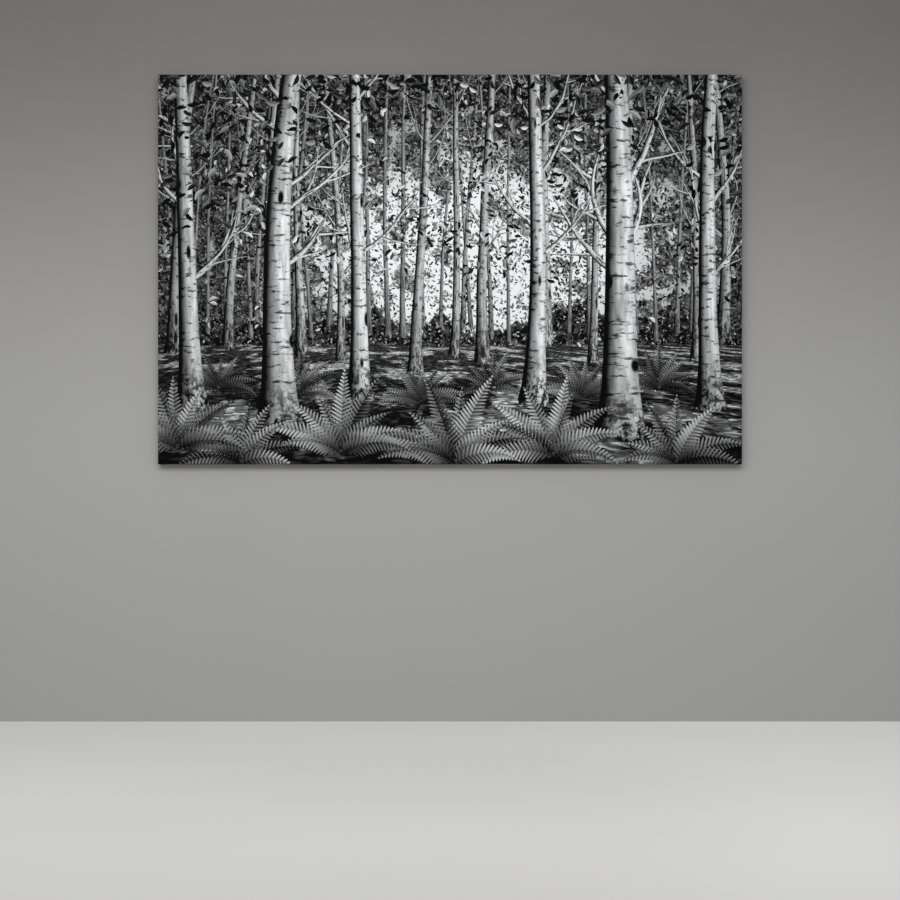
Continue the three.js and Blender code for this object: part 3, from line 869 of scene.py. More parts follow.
def design_tone(g):
    """Mixes the layers of the design from the sky to the near leaves."""
    design = g.attribute("design")
    flat = design["Vector"]
    x, z, _ = g.parts(design["Color"])

    def add_leaves(below, cover, leaves, lit=1.0, power=1.6, width=0.2, where=flat):
        """Lays layers of leaves over a tone. The seed also moves the pattern, so no two layers share
        their cells. lit dims the lightest leaves, and a higher power makes more of the leaves dark."""
        for size, seed, low, high in leaves:
            node = g.add("Group", {"node_tree": leaf_layer}, Place=where, Size=size, Cover=cover, Width=width)
            g.feed(node.inputs["Seed"], waiting(g, below, seed))
            light = g.math("POWER", node.outputs["Tone"], power)
            span = g.math("SUBTRACT", g.math("MULTIPLY", lit, high), low)
            below = g.mix(node.outputs["Mask"], below, g.math("MULTIPLY_ADD", light, span, low))
        return below

    def ranged(tone, low, high):
        """A tone from 0 to 1 becomes one from low to high."""
        return g.math("MULTIPLY_ADD", tone, high - low, low)

    def patches(shift, scale, detail, low, high, where=flat):
        """Cloudy patches that go from 0 to 1 as the noise goes from low to high."""
        moved = g.add("Mapping", Vector=where, Location=(shift, 0.37 * shift, 0)).outputs[0]
        return g.between(g.noise(moved, scale, detail, 0.6), low, high)

    # The sky glows through gaps in the far foliage, which closes towards the corners.
    spread = g.math("MULTIPLY", g.math("SUBTRACT", x, 0.12), 0.72)
    rise = g.math("MULTIPLY", g.math("SUBTRACT", z, 0.05), 1.35)
    away = g.vector("LENGTH", g.join(spread, rise))
    glow = g.between(away, 0.05, 0.95, 1.0, 0.0)
    sky = ranged(glow, 0.55, 1.05)
    closed = g.between(glow, 0.0, 1.0, 0.36, 0.56)
    gap_noise = g.noise(flat, 7.5, 7.0, 0.66)
    foliage = g.between(gap_noise, closed, g.math("ADD", closed, 0.05))
    mass = g.math("MULTIPLY", ranged(patches(5.3, 26.0, 3.0, 0.3, 0.7), 0.10, 0.42), ranged(glow, 0.75, 1.5))
    tone = g.mix(foliage, sky, mass)
    lit = ranged(glow, 0.62, 1.0)
    cover = g.between(gap_noise, g.math("SUBTRACT", closed, 0.07), 0.62, 0.25, 0.85)
    tone = add_leaves(tone, cover, SKY_LEAVES, lit=lit)

    # Far shrubs close the view at the foot of the far trunks.
    hedge_top = g.math("MULTIPLY_ADD", g.noise(g.join(x, 0.3), 4.5, 4.0, 0.6), 0.34, GROUND - 0.09)
    hedge = g.between(g.math("SUBTRACT", z, hedge_top), 0.006, -0.006)
    tone = g.mix(hedge, tone, ranged(patches(7.7, 30.0, 3.0, 0.3, 0.7), 0.04, 0.26))
    tone = add_leaves(tone, g.math("MULTIPLY", hedge, 0.62), HEDGE_LEAVES, power=2.0)

    # The ground lies in perspective: its own coordinates are worked out from the height below the
    # horizon. Light falls on it in streaks towards the viewer, and leaves lie all over it.
    below = g.math("MAXIMUM", g.math("SUBTRACT", HORIZON, z), 0.04)
    depth = g.math("DIVIDE", 0.5, below)
    ground_x = g.math("MULTIPLY", x, depth)
    ground_z = g.math("MULTIPLY", depth, FORESHORTEN)
    over_ground = g.join(ground_x, ground_z)
    ground_edge = g.math("MULTIPLY_ADD", gap_noise, 0.05, GROUND - 0.05)
    ground = g.between(g.math("SUBTRACT", z, ground_edge), 0.01, -0.01)
    streaks = g.join(g.math("MULTIPLY_ADD", ground_z, 0.22, ground_x), g.math("MULTIPLY", ground_z, 0.42))
    sun = patches(1.9, 2.6, 4.0, 0.49, 0.60, where=streaks)
    soil = ranged(patches(2.3, 16.0, 4.0, 0.3, 0.7, where=over_ground), 0.05, 0.20)
    shade = g.between(z, -0.5 * HEIGHT, GROUND, 0.70, 1.0, smooth=False)
    litter = waiting(g, tone, g.math("ADD", soil, ranged(sun, 0.0, 0.34)))
    sunlit = ranged(sun, 0.38, 1.25)
    for size, seed, cover in GROUND_LEAVES:
        leaf = [(size, seed, 0.08, 1.0)]
        litter = add_leaves(litter, cover, leaf, lit=sunlit, power=1.0, width=0.24, where=over_ground)
    tone = g.mix(ground, tone, g.math("MULTIPLY", litter, shade))

    # Trunks and foliage, from far to near.
    tone = add_stems(g, tone, "far", dark=0.16, bright=0.62, seed=3.0, bark=0.5)
    crown = g.between(z, -0.3, 0.6)
    off_ground = g.math("SUBTRACT", 1.0, ground)
    far_cover = g.math("MULTIPLY", patches(8.3, 3.4, 4.0, 0.42, 0.58), ranged(crown, 0.25, 0.9))
    tone = add_leaves(tone, g.math("MULTIPLY", far_cover, off_ground), FAR_LEAVES, power=1.8)
    tone = add_fronds(g, tone, "far_fern", spacing=0.011, dark=0.05, bright=0.66)
    tone = add_stems(g, tone, "middle", dark=0.07, bright=0.80, seed=29.0, bark=0.85)
    near_cover = g.math("MULTIPLY", patches(1.3, 2.6, 4.0, 0.46, 0.60), g.math("MULTIPLY", crown, off_ground))
    tone = add_leaves(tone, g.math("MULTIPLY", near_cover, 0.9), NEAR_LEAVES)
    tone = add_stems(g, tone, "near", dark=0.035, bright=1.0, seed=53.0)
    tone = add_fronds(g, tone, "near_fern", spacing=0.016, dark=0.02, bright=0.90)
    corner = g.math("MULTIPLY", g.between(away, 0.62, 1.0), g.between(z, 0.0, 0.4))
    clump = ranged(patches(3.1, 4.2, 3.0, 0.36, 0.62), 0.2, 0.8)
    tone = add_leaves(tone, g.math("MULTIPLY", corner, clump), CORNER_LEAVES, width=0.19)

    # The print's contrast, darker corners and a trace of film grain.
    vignette = g.between(away, 0.45, 1.25, 1.0, 0.78)
    grain = g.noise(flat, 420.0, 1.0)
    tone = g.math("MULTIPLY", g.math("ADD", tone, ranged(grain, -0.03, 0.03)), vignette)
    return g.between(tone, *PRINT_RANGE, smooth=False)


# %% [markdown]
# ## The weave
# Canvas is a plain weave. It could be real threads, but a cloth of this size has some seven thousand of
# them, each under a millimetre wide. So it is a formula in the materials. Each thread is a ridge that
# dips under every second crossing thread, and the surface is the higher of two sets of ridges whose
# height swings with the crossing threads. The primer fills it, so the printed side has under half of the
# raw side's depth.

# %% The height of the weave
THREAD = 0.62 * MM


def weave(g):
    """Height from 0 to 1 of a plain weave over the cloth's own flat coordinates."""
    u, v = g.split(g.attribute("sheet")["Vector"], "xy")
    u = g.math("DIVIDE", u, THREAD)
    v = g.math("DIVIDE", v, THREAD)

    def ridges(a, b, start):
        """One set of threads, which run along b and lie one unit of a apart. Each is a rounded ridge
        that goes over one crossing thread and under the next, and its neighbours do the opposite."""
        thread = g.math("ABSOLUTE", g.math("SINE", g.math("MULTIPLY", a, math.pi)))
        turn = g.math("ADD", g.math("ADD", b, g.math("FLOOR", a)), start)
        swing = g.math("COSINE", g.math("MULTIPLY", turn, math.pi))
        return g.math("MULTIPLY", thread, g.math("MULTIPLY_ADD", swing, 0.4, 0.6))

    return g.math("MAXIMUM", ridges(u, v, 0.5), ridges(v, u, 1.5))


# %% [markdown]
# ## Finishes of the cloth
# The printed side is white primer under matt ink, so its whites are a little grey and its blacks hardly
# shine. The design's tone could go to the shader as it is. But a tone says how light a place looks, and
# one that looks half as light as white throws back only about a third of white's light. So a power turns
# the tone into reflected light. The ink stops just past the back edge, and the turned-in cloth is bare
# primer, with painted shade in the hollows of its weave. The raw side is unbleached cotton with thicker
# threads here and there, and painted shade in the hollows of its weave too.

# %% The printed side
PRINT_END = DEPTH + 7 * MM  # the ink's width past the flat front
INK_BLACK = 0.0015
PRINT_WHITE = 0.74  # a trace of ink lies on the lightest places too
PRIMER_WHITE = 0.80
TONE_CURVE = 1.63  # the power that turns the design's tone into reflected light


def printed_cloth():
    """Ink on primer on the weave. Past the end of the ink the primer is bare, slightly warm and creased,
    with painted shade in the hollows of its weave.
    """
    material, g, shader = new_material("printed_cloth")
    ink = g.math("POWER", design_tone(g), TONE_CURVE)
    printed = g.math("MULTIPLY_ADD", ink, PRINT_WHITE - INK_BLACK, INK_BLACK)
    past = g.split(g.attribute("design")["Vector"], "z")[0]
    bare = g.math("GREATER_THAN", past, PRINT_END)
    threads = weave(g)
    sheet = g.attribute("sheet")["Vector"]
    uneven = g.between(g.noise(sheet, 60.0, 4.0), 0.3, 0.7, 0.86, 0.96)
    # Painted shade: the bare primer is darker where the weave is low, between the threads.
    primer = g.math("MULTIPLY", uneven, g.between(threads, 0.15, 0.9, 0.66, PRIMER_WHITE))
    level = g.mix(bare, printed, primer)
    warm = g.math("MULTIPLY", level, g.mix(bare, 1.0, 0.94))
    g.feed(shader.inputs["Base Color"], g.add("CombineColor", Red=level, Green=level, Blue=warm).outputs[0])
    g.feed(shader.inputs["Roughness"], g.between(threads, 0.2, 1.0, 0.66, 0.52))
    creases = g.math("MULTIPLY", g.noise(sheet, 34.0, 2.0), g.math("MULTIPLY", bare, 9.0))
    g.relief(shader, g.math("ADD", threads, creases), 0.6, 0.06 * MM)
    shader.inputs["Specular IOR Level"].default_value = 0.025
    return material


# %% The raw side
RAW_COTTON = (0.60, 0.545, 0.455, 1)
SLUB_COTTON = (0.66, 0.61, 0.52, 1)  # the thicker, looser places of a thread


def raw_cloth():
    """Unbleached cotton. The slubs are noise drawn out along the warp, and noise drawn out along the
    weft, where either is high. The hollows of the weave are painted darker, as painted shade."""
    material, g, shader = new_material("raw_cloth")
    sheet = g.attribute("sheet")["Vector"]
    u, v = g.split(sheet, "xy")
    warp = g.noise(g.scaled((u, 1600.0), (v, 26.0)), 1.0, 1.0)
    weft = g.noise(g.scaled((u, 31.0), (v, 1600.0)), 1.0, 1.0)
    slubs = g.between(g.math("MAXIMUM", warp, weft), 0.60, 0.84)
    cloud = g.noise(sheet, 5.0, 3.0)
    threads = weave(g)
    # Painted shade: the cotton is darker where the weave is low, between the threads; the slubs lighten it a
    # little.
    light = g.math("ADD", g.between(threads, 0.15, 0.9, 0.76, 1.04), g.math("MULTIPLY", slubs, 0.06))
    light = g.math("MULTIPLY", light, g.between(cloud, 0.3, 0.7, 0.97, 1.02))
    colour = g.mix_colour(slubs, RAW_COTTON, SLUB_COTTON)
    g.feed(shader.inputs["Base Color"], g.lighten(colour, light))
    g.relief(shader, g.math("MULTIPLY_ADD", slubs, 0.5, threads), 0.7, 0.14 * MM)
    shader.inputs["Roughness"].default_value = 0.9
    shader.inputs["Sheen Weight"].default_value = 0.15
    return material


printed = printed_cloth()
raw = raw_cloth()
print("printed cloth", len(printed.node_tree.nodes), "nodes, raw cloth", len(raw.node_tree.nodes))


# %% [markdown]
# ## The cloth piece
# The design reaches the shader as attributes. Those could lie on the points, but neighbouring faces may
# tell of different stems, so they lie on the corners of the faces. The place that a corner had on the
# cloth when it still lay flat is one of them, and the weave follows it. The layout for baking, a map
# named OFBake, gives the front most of the square, and the sides, the raw back and its edges the rest.

# %% Attributes on the corners of the faces
def store(mesh, name, values):
    """Writes two or three numbers for each corner of the first faces as a vector, and zeros for the rest."""
    full = np.zeros((len(mesh.loops), 3), np.float32)
    rows = values.reshape(-1, values.shape[-1])
    full[: len(rows), : rows.shape[1]] = rows
    mesh.attributes.new(name, "FLOAT_VECTOR", "CORNER").data.foreach_set("vector", full.ravel())


def store_number(mesh, name, values):
    """Writes one number for each corner of the first faces, and zeros for the rest."""
    full = np.zeros(len(mesh.loops), np.float32)
    full[: values.size] = values.ravel()
    mesh.attributes.new(name, "FLOAT", "CORNER").data.foreach_set("value", full)


def carry_design(mesh, corners, past, on_flat):
    """Writes all that the printed material reads: the place in the design and how far past the front,
    the layers of the design, and the place on the flat cloth."""
    store(mesh, "design", np.concatenate([corners, past[..., None]], -1))
    for name, values in draw(corners).items():
        store(mesh, name, values[..., :3])
        store_number(mesh, f"{name}_number", values[..., 3])
    store(mesh, "sheet", on_flat)


# %% The layout for baking
# Boxes of the layout: left, bottom, width and height. The four strips of a set hold the bottom side, the
# right one, the top one and the left one.
FRONT_BOX = (0.01, 0.345, 0.98, 0.645)
RAW_BOX = (0.01, 0.01, 0.23, 0.15)
PRINTED_STRIPS = [(0.01, 0.30 - 0.042 * k, 0.98, 0.037) for k in range(4)]
RAW_STRIPS = [(0.25, 0.13 - 0.032 * k, 0.74, 0.027) for k in range(4)]


def box_layout(points, box):
    """Places on the picture's plane, fitted into a box (left, bottom, width, height) of the layout."""
    share = (points[:, [0, 2]] - CENTRE) / [WIDTH, HEIGHT] + 0.5
    return share * [box[2], box[3]] + [box[0], box[1]]


def strip_layout(levels, boxes):
    """The layout of a closed band of four-sided faces. Each of the four sides fills a box, and levels
    tells how far up it each row of points lies, from 0 to 1."""
    left, bottom, width, height = np.repeat(boxes, SIDE_CELLS, axis=0).T
    cells = np.repeat(SIDE_CELLS, SIDE_CELLS)
    number = np.concatenate([np.arange(n) for n in SIDE_CELLS])
    v = bottom + height * levels[:, None]
    before = np.stack(np.broadcast_arrays(left + width * number / cells, v), -1)
    after = np.stack(np.broadcast_arrays(left + width * (number + 1) / cells, v), -1)
    corners = [before[:-1], before[1:], after[1:], after[:-1]]
    return np.stack(corners, 2).reshape(-1, 2)


def lay_out(mesh):
    """Fills the map OFBake, group of faces by group of faces."""
    front, _, _, raw_front = [np.concatenate([np.ravel(f) for f in group]) for group in cloth_groups]
    printed_levels = np.append(0, rows) / rows[-1]
    raw_levels = np.append(rows[-1], raw_rows) / rows[-1]
    parts = [
        box_layout(cloth_points[front], FRONT_BOX),
        strip_layout(printed_levels, PRINTED_STRIPS),
        strip_layout(raw_levels, RAW_STRIPS),
        box_layout(cloth_points[raw_front], RAW_BOX),
    ]
    layout = mesh.uv_layers.new(name="OFBake")
    layout.data.foreach_set("uv", np.concatenate(parts).astype(np.float32).ravel())


# %% The cloth itself
cloth_faces = [face for group in cloth_groups for face in group]
is_raw = np.repeat([0, 0, 1, 1], [len(group) for group in cloth_groups])
cloth = make_object("cloth", cloth_points, cloth_faces, [printed, raw], is_raw)
raw_rings = np.concatenate([printed_ring[-len(rim) :], raw_ring])
on_flat = [
    sheet_corners.reshape(-1, 2),
    flat_band(raw_rings, np.append(rows[-1], raw_rows) - BEND).reshape(-1, 2),
    cloth_points[np.concatenate(cloth_groups[3])][:, [0, 2]] - CENTRE,
]
carry_design(cloth.data, design_corners, past_corners, np.concatenate(on_flat))
lay_out(cloth.data)
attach(cloth, "root")
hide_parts("canvas")
print("cloth", len(cloth.data.polygons), "faces")


# %% [markdown]
# ## The folded corners
# At each corner the cloth has to lose a square, so it is folded into a pleat that lies on the level side
# and runs on round the back. The whole fold could be made as three layers, but they hide each other.
# What shows is one rounded fold, with the cloth behind it a little thicker. So it is a strip carried
# along the same profile as the cloth, raised above it most near its edge, and thinning out to nothing.

# %% The pleat at each corner
FOLD_RISE = 0.42 * MM  # how high it stands on the cloth
FOLD_EDGE = 1.2 * MM  # from the corner to the fold, along the side
FOLD_STEPS = np.array([0, 0.06, 0.2, 0.45, 0.8, 4, 12, 22, 34]) * MM  # where its points lie, from its edge
FOLD_ROUND = 0.8 * MM  # how wide the rounded edge of the fold is
FOLD_START = 6 * MM  # the fold reaches its full height this far past the flat front
FOLD_UNDER = 0.15 * MM  # how deep in the cloth its hidden side lies


def fold_height(away):
    """A quarter round at the fold's edge, times a slope that goes down to nothing."""
    round_part = np.sqrt(np.clip(1 - (1 - np.clip(away / FOLD_ROUND, 0, 1)) ** 2, 0, 1))
    return FOLD_RISE * round_part * (1 - np.clip(away / FOLD_STEPS[-1], 0, 1) ** 1.5)


def fold_strip(sign_x, sign_z):
    """One pleat: its points, its faces, and each point's distance past the flat front."""
    distance = np.concatenate([[0.4 * QUARTER, 0.8 * QUARTER], rows[3:]])
    ramp = np.clip(distance / FOLD_START, 0, 1)[:, None]
    steps = np.concatenate([FOLD_STEPS, FOLD_STEPS[::-1]])[None, :]
    under = np.arange(steps.size) >= len(FOLD_STEPS)
    skin = np.where(under, FOLD_UNDER, -fold_height(steps) * ramp)
    inset, back = profile(distance[:, None], skin)
    level_inset = np.broadcast_to(profile(distance[:, None], 0)[0], inset.shape)
    x = sign_x * (WIDTH / 2 - np.maximum(level_inset, FOLD_EDGE) - steps)
    z = sign_z * (HEIGHT / 2 - inset)
    points = np.stack([x + CENTRE[0], FRONT + back, z + CENTRE[1]], -1)
    rings = np.arange(points[..., 0].size).reshape(inset.shape)
    caps = [end_faces(rings[0]), end_faces(rings[-1])[:, ::-1]]
    faces = np.concatenate([band_faces(rings)] + caps)
    return points.reshape(-1, 3), faces, np.broadcast_to(distance[:, None], inset.shape).ravel()


def end_faces(ring):
    """Closes a flat ring, whose second half comes back under the first, with four-sided faces."""
    there = ring[: len(ring) // 2]
    back = ring[: len(ring) // 2 - 1 : -1]
    return np.stack([there[:-1], there[1:], back[1:], back[:-1]], 1)


def join_parts(parts):
    """Several sets of points and faces as one set."""
    first = np.cumsum([0] + [len(points) for points, _ in parts])
    faces = [[k + n for k in face] for n, (_, part) in zip(first, parts) for face in part]
    return np.concatenate([points for points, _ in parts]), faces


def face_out(obj):
    """Turns the faces of closed shells outwards."""
    work = bmesh.new()
    work.from_mesh(obj.data)
    bmesh.ops.recalc_face_normals(work, faces=work.faces)
    work.to_mesh(obj.data)
    work.free()


strips = [fold_strip(sx, sz) for sx in (-1, 1) for sz in (-1, 1)]
fold_points, fold_faces = join_parts([strip[:2] for strip in strips])
fold_past = np.concatenate([strip[2] for strip in strips])
folds = make_object("corner_folds", fold_points, fold_faces, [printed])
face_out(folds)
fold_numbers = np.array([loop.vertex_index for loop in folds.data.loops]).reshape(-1, 4)
fold_x, _, fold_z = (fold_points - [CENTRE[0], 0, CENTRE[1]])[fold_numbers].transpose(2, 0, 1)
fold_past = fold_past[fold_numbers]
fold_design = np.stack([fold_x, np.sign(fold_z) * (HALF_SIZE[1] + mirrored(fold_past))], -1)
fold_sheet = np.stack([fold_x, np.sign(fold_z) * (HALF_SIZE[1] + fold_past - BEND)], -1)
carry_design(folds.data, fold_design, fold_past, fold_sheet)
folds.data.set_sharp_from_angle(angle=math.radians(50))
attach(folds, "root")
print("folds", len(folds.data.polygons), "faces")


# %% [markdown]
# ## The staples
# The turned-in cloth is stapled to the back of the frame every 50 mm, from the middle of each side to
# its ends, and twice more across each folded corner. A staple is a flat wire bent down at both ends. It
# could be a curve with a bevel, repeated by a modifier, but no two real ones lie alike. So its section is
# carried along five straight pieces, and all the staples, each moved and turned by a little chance, are
# one mesh made from arrays.

# %% One staple, and all of them
WIRE = (1.25 * MM, 0.5 * MM)  # width and thickness
CROWN = 12 * MM  # the width of a staple, outside
LEG = 1.6 * MM  # how deep the legs are made; the rest would be inside the wood
WIRE_BEND = 0.35 * MM  # how much of each corner the bend takes
STAPLE_INSET = 31 * MM  # from the picture's edge to the line of staples
STAPLE_HEIGHT = -BACK_SETTING + 0.17 * MM  # of the wire's middle: pressed in a little, clear of the wall
STAPLE_ENDS = 75 * MM  # no staple of a line lies nearer to the end of its side
CORNER_STAPLES = [(24 * MM, 15 * MM), (42 * MM, 29 * MM)]  # from the picture's two edges
HAND_SHIFT = 1.5 * MM  # how far a staple lies off its place, as set by hand
HAND_TURN = 0.05
steel_rng = np.random.default_rng(5)


def staple():
    """A staple along X with its crown at Y = 0 and its legs towards -Y: a six-sided section at each of
    six points of the bent wire."""
    half = CROWN / 2 - WIRE[1] / 2
    wire = np.array([[-half, -LEG], [-half, -WIRE_BEND], [-half + WIRE_BEND, 0]])
    wire = np.concatenate([wire, wire[::-1] * [-1, 1]])
    heading = np.array([90, 67.5, 22.5, -22.5, -67.5, -90]) * math.pi / 180
    angle = np.arange(6) * math.pi / 3 + math.pi / 6
    across = np.sign(np.cos(angle)) * np.where(np.abs(np.cos(angle)) > 0.1, 0.5, 0) * WIRE[0]
    rise = np.sin(angle) * WIRE[1] / 2
    x = wire[:, :1] - np.sin(heading)[:, None] * rise
    y = wire[:, 1:] + np.cos(heading)[:, None] * rise
    z = np.broadcast_to(across, x.shape)
    rings = np.arange(x.size).reshape(x.shape)
    faces = band_faces(rings).tolist() + [rings[0].tolist(), rings[-1][::-1].tolist()]
    return np.stack([x, y, z], -1).reshape(-1, 3), faces


def staple_places():
    """Where each staple lies, from the picture's middle, and how far it is turned from level."""
    spots = []
    for half_long, half_short, level in ((WIDTH / 2, HEIGHT / 2, True), (HEIGHT / 2, WIDTH / 2, False)):
        count = int((half_long - STAPLE_ENDS) / STAPLE_PITCH)
        along = np.arange(-count, count + 1) * STAPLE_PITCH
        for side in (-1, 1):
            across = np.full_like(along, side * (half_short - STAPLE_INSET))
            spot = [along, across] if level else [across, along]
            spots.append(np.column_stack(spot + [np.full_like(along, 0 if level else math.pi / 2)]))
    for sign_x in (-1, 1):
        for sign_z in (-1, 1):
            for inset_x, inset_z in CORNER_STAPLES:
                place = [sign_x * (WIDTH / 2 - inset_x), sign_z * (HEIGHT / 2 - inset_z)]
                spots.append(np.array([place + [sign_x * sign_z * math.pi / 4]]))
    spots = np.concatenate(spots)
    spots[:, :2] += steel_rng.normal(0, HAND_SHIFT, (len(spots), 2))
    spots[:, 2] += steel_rng.normal(0, HAND_TURN, len(spots))
    return spots


# %% The staples' steel, and the piece
STEEL_DULL = (0.56, 0.57, 0.58, 1)
STEEL_BRIGHT = (0.70, 0.70, 0.70, 1)


def galvanised_steel():
    """Zinc-coated wire, cloudy in its colour and its shine."""
    material, g, shader = new_material("galvanised_steel")
    place = g.add("TexCoord").outputs["Object"]
    cloud = g.noise(place, 900.0, 3.0, flat=False)
    g.feed(shader.inputs["Base Color"], g.mix_colour(cloud, STEEL_DULL, STEEL_BRIGHT))
    g.feed(shader.inputs["Roughness"], g.between(cloud, 0.3, 0.7, 0.28, 0.46))
    shader.inputs["Metallic"].default_value = 1.0
    return material


one_points, one_faces = staple()
spots = staple_places()
turn = np.stack([np.cos(spots[:, 2]), np.sin(spots[:, 2])], 1)
x = spots[:, :1] + turn[:, :1] * one_points[:, 0] + turn[:, 1:] * one_points[:, 2]
z = spots[:, 1:2] + turn[:, 1:] * one_points[:, 0] - turn[:, :1] * one_points[:, 2]
y = np.broadcast_to(one_points[:, 1] + STAPLE_HEIGHT, x.shape)
staple_points = np.stack([x + CENTRE[0], y, z + CENTRE[1]], -1).reshape(-1, 3)
first = np.arange(len(spots)) * len(one_points)
staple_faces = [[k + n for k in face] for n in first for face in one_faces]
staples = make_object("staples", staple_points, staple_faces, [galvanised_steel()], smooth=False)
face_out(staples)
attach(staples, "root")
print("staples", len(spots))


# %% [markdown]
# ## The cloth's flat size
# The cloth was cut with enough to spare on each side for the depth and the turned-in edge. A maker knows
# its flat size from the frame: it is the picture's size and twice the spare cloth.


# %% [markdown]
# ## Wood
# The bars are planed softwood, glued up from short lengths with finger joints, and the keys are beech.
# Sawn wood shows its year rings as slanting bands, because the saw cuts a tree's rings, which are nearly
# cylinders, lengthwise. Noise drawn out along the bar would give streaks, but never such bands. So the
# pattern is the distance to a slightly wandering pith, cut into rings with a soft start and a hard dark
# end. Each length of a bar has a pith of its own.

# %% Sawn softwood along one axis
STAVE = 0.47  # length between finger joints
FINGER = (7 * MM, 11 * MM)  # spacing and length of the fingers
LOG = 0.2  # the wood is cut across the grain into strips this wide, and no two strips share a stave
RING = 3.4 * MM  # one year's growth
RIPPLE = 4 * MM  # how far the rings swing along the length
KNOT_PUSH = 1.6 * MM  # about how far a knot pushes the rings out, one spacing of knots away
PINE_EARLY = (0.72, 0.55, 0.345, 1)
PINE_LATE = (0.44, 0.245, 0.105, 1)
PINE_KNOT = (0.20, 0.09, 0.038, 1)


def grain_axes(g, along):
    """The distances along the grain, across it in the picture's plane, and in depth."""
    x, y, z = g.split(g.add("TexCoord").outputs["Object"])
    return (x, z, y) if along == "x" else (z, x, y)


def softwood(name, along):
    """A stave's number gives it a pith and a tint of its own. The rings are pushed outwards round a knot,
    by an amount that falls as one over the distance from it."""
    material, g, shader = new_material(name)
    length, across, depth = grain_axes(g, along)
    tooth = g.math("ABSOLUTE", g.math("SUBTRACT", g.math("FRACT", g.math("DIVIDE", across, FINGER[0])), 0.5))
    shifted = g.math("MULTIPLY_ADD", tooth, 2 * FINGER[1], length)
    log = g.math("FLOOR", g.math("DIVIDE", across, LOG))
    stave = g.math("ADD", g.math("DIVIDE", shifted, STAVE), g.math("MULTIPLY", log, 0.37))
    number = g.math("ADD", g.math("FLOOR", stave), g.math("MULTIPLY", log, 17.0))
    chance = g.add("TexWhiteNoise", {"noise_dimensions": "1D"}, W=number).outputs["Color"]
    chance_depth, chance_across, chance_tint = g.parts(chance)
    wander = g.noise(g.join(g.math("MULTIPLY", length, 1.6), number), 1.0, 2.0)
    pith_depth = g.math("MULTIPLY_ADD", chance_depth, 0.16, g.math("MULTIPLY_ADD", wander, 0.03, -0.1))
    pith_across = g.math("MULTIPLY_ADD", chance_across, 0.24, -0.02)
    in_log = g.math("SUBTRACT", across, g.math("MULTIPLY", log, LOG))
    from_pith = g.join(g.math("SUBTRACT", depth, pith_depth), g.math("SUBTRACT", in_log, pith_across))
    ripple_at = g.join(g.math("MULTIPLY", length, 5.0), g.math("MULTIPLY", across, 30.0), number)
    ripple = g.math("MULTIPLY", g.noise(ripple_at, 1.0, 3.0, flat=False), RIPPLE)
    knot = g.cells_3d(g.join(g.math("MULTIPLY", length, 2.6), g.math("MULTIPLY", across, 9.0), number))
    bulge = g.math("DIVIDE", KNOT_PUSH, g.math("ADD", knot, 0.06))
    ring_place = g.math("ADD", g.math("ADD", g.vector("LENGTH", from_pith), ripple), bulge)
    ring = g.math("FRACT", g.math("DIVIDE", ring_place, RING))
    late = g.math("MULTIPLY", g.between(ring, 0.35, 0.93), g.between(ring, 1.0, 0.93))
    fibre = g.noise(g.scaled((length, 12.0), (across, 900.0), (depth, 900.0)), 1.0, 2.0, flat=False)
    dark = g.math("ADD", g.math("MULTIPLY", late, 0.62), g.math("MULTIPLY", fibre, 0.34), clamp=True)
    colour = g.mix_colour(dark, PINE_EARLY, PINE_LATE)
    tint = g.between(chance_tint, 0.0, 1.0, 0.84, 1.10, smooth=False)
    from_joint = g.math("ABSOLUTE", g.math("SUBTRACT", g.math("FRACT", stave), 0.5))
    glue = g.between(from_joint, 0.4975, 0.4992, 1.0, 0.62)
    heart = g.between(knot, 0.10, 0.055)
    halo = g.math("MULTIPLY", g.between(knot, 0.14, 0.10), g.math("SUBTRACT", 1.0, heart))
    light = g.math("MULTIPLY", g.math("MULTIPLY", tint, glue), g.math("MULTIPLY_ADD", halo, -0.5, 1.0))
    g.feed(shader.inputs["Base Color"], g.mix_colour(heart, g.lighten(colour, light), PINE_KNOT))
    g.feed(shader.inputs["Roughness"], g.between(dark, 0.0, 1.0, 0.72, 0.56, smooth=False))
    height = g.math("ADD", g.math("MULTIPLY", late, 0.6), g.math("MULTIPLY", fibre, 0.7))
    g.relief(shader, height, 0.5, 0.1 * MM)
    shader.inputs["Specular IOR Level"].default_value = 0.3
    return material


# %% Beech for the keys
BEECH_PALE = (0.66, 0.43, 0.265, 1)
BEECH_DARK = (0.52, 0.31, 0.175, 1)
BEECH_FLECK = (0.33, 0.17, 0.085, 1)


def beech(name, along):
    """Close-grained pink-brown wood with the short dark flecks that mark it."""
    material, g, shader = new_material(name)
    length, across, depth = grain_axes(g, along)
    grain = g.noise(g.scaled((length, 60.0), (across, 900.0), (depth, 900.0)), 1.0, 3.0, flat=False)
    fleck = g.noise(g.scaled((length, 420.0), (across, 1700.0), (depth, 500.0)), 1.0, 1.0, flat=False)
    batch = g.noise(g.add("TexCoord").outputs["Object"], 3.0, 1.0, flat=False)
    colour = g.mix_colour(grain, BEECH_PALE, BEECH_DARK)
    colour = g.mix_colour(g.between(fleck, 0.60, 0.70), colour, BEECH_FLECK)
    g.feed(shader.inputs["Base Color"], g.lighten(colour, g.between(batch, 0.3, 0.7, 0.86, 1.08)))
    g.feed(shader.inputs["Roughness"], g.between(grain, 0.2, 0.8, 0.62, 0.5))
    g.relief(shader, grain, 0.5, 0.06 * MM)
    return material


# %% Give the frame its wood
level_pine = softwood("pine_level", "x")
upright_pine = softwood("pine_upright", "z")
level_beech = beech("beech_level", "x")
upright_beech = beech("beech_upright", "z")
LEVEL_PIECES = ("bar_top", "bar_bottom", "brace_level")
for name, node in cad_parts.items():
    lies_level = name in LEVEL_PIECES or name.endswith("_level") or name.startswith("key_brace_level")
    if name.startswith("key_"):
        node.material_slots[0].material = level_beech if lies_level else upright_beech
    elif name != "canvas":
        node.material_slots[0].material = level_pine if lies_level else upright_pine
print("wooden pieces", len(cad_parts) - 1)
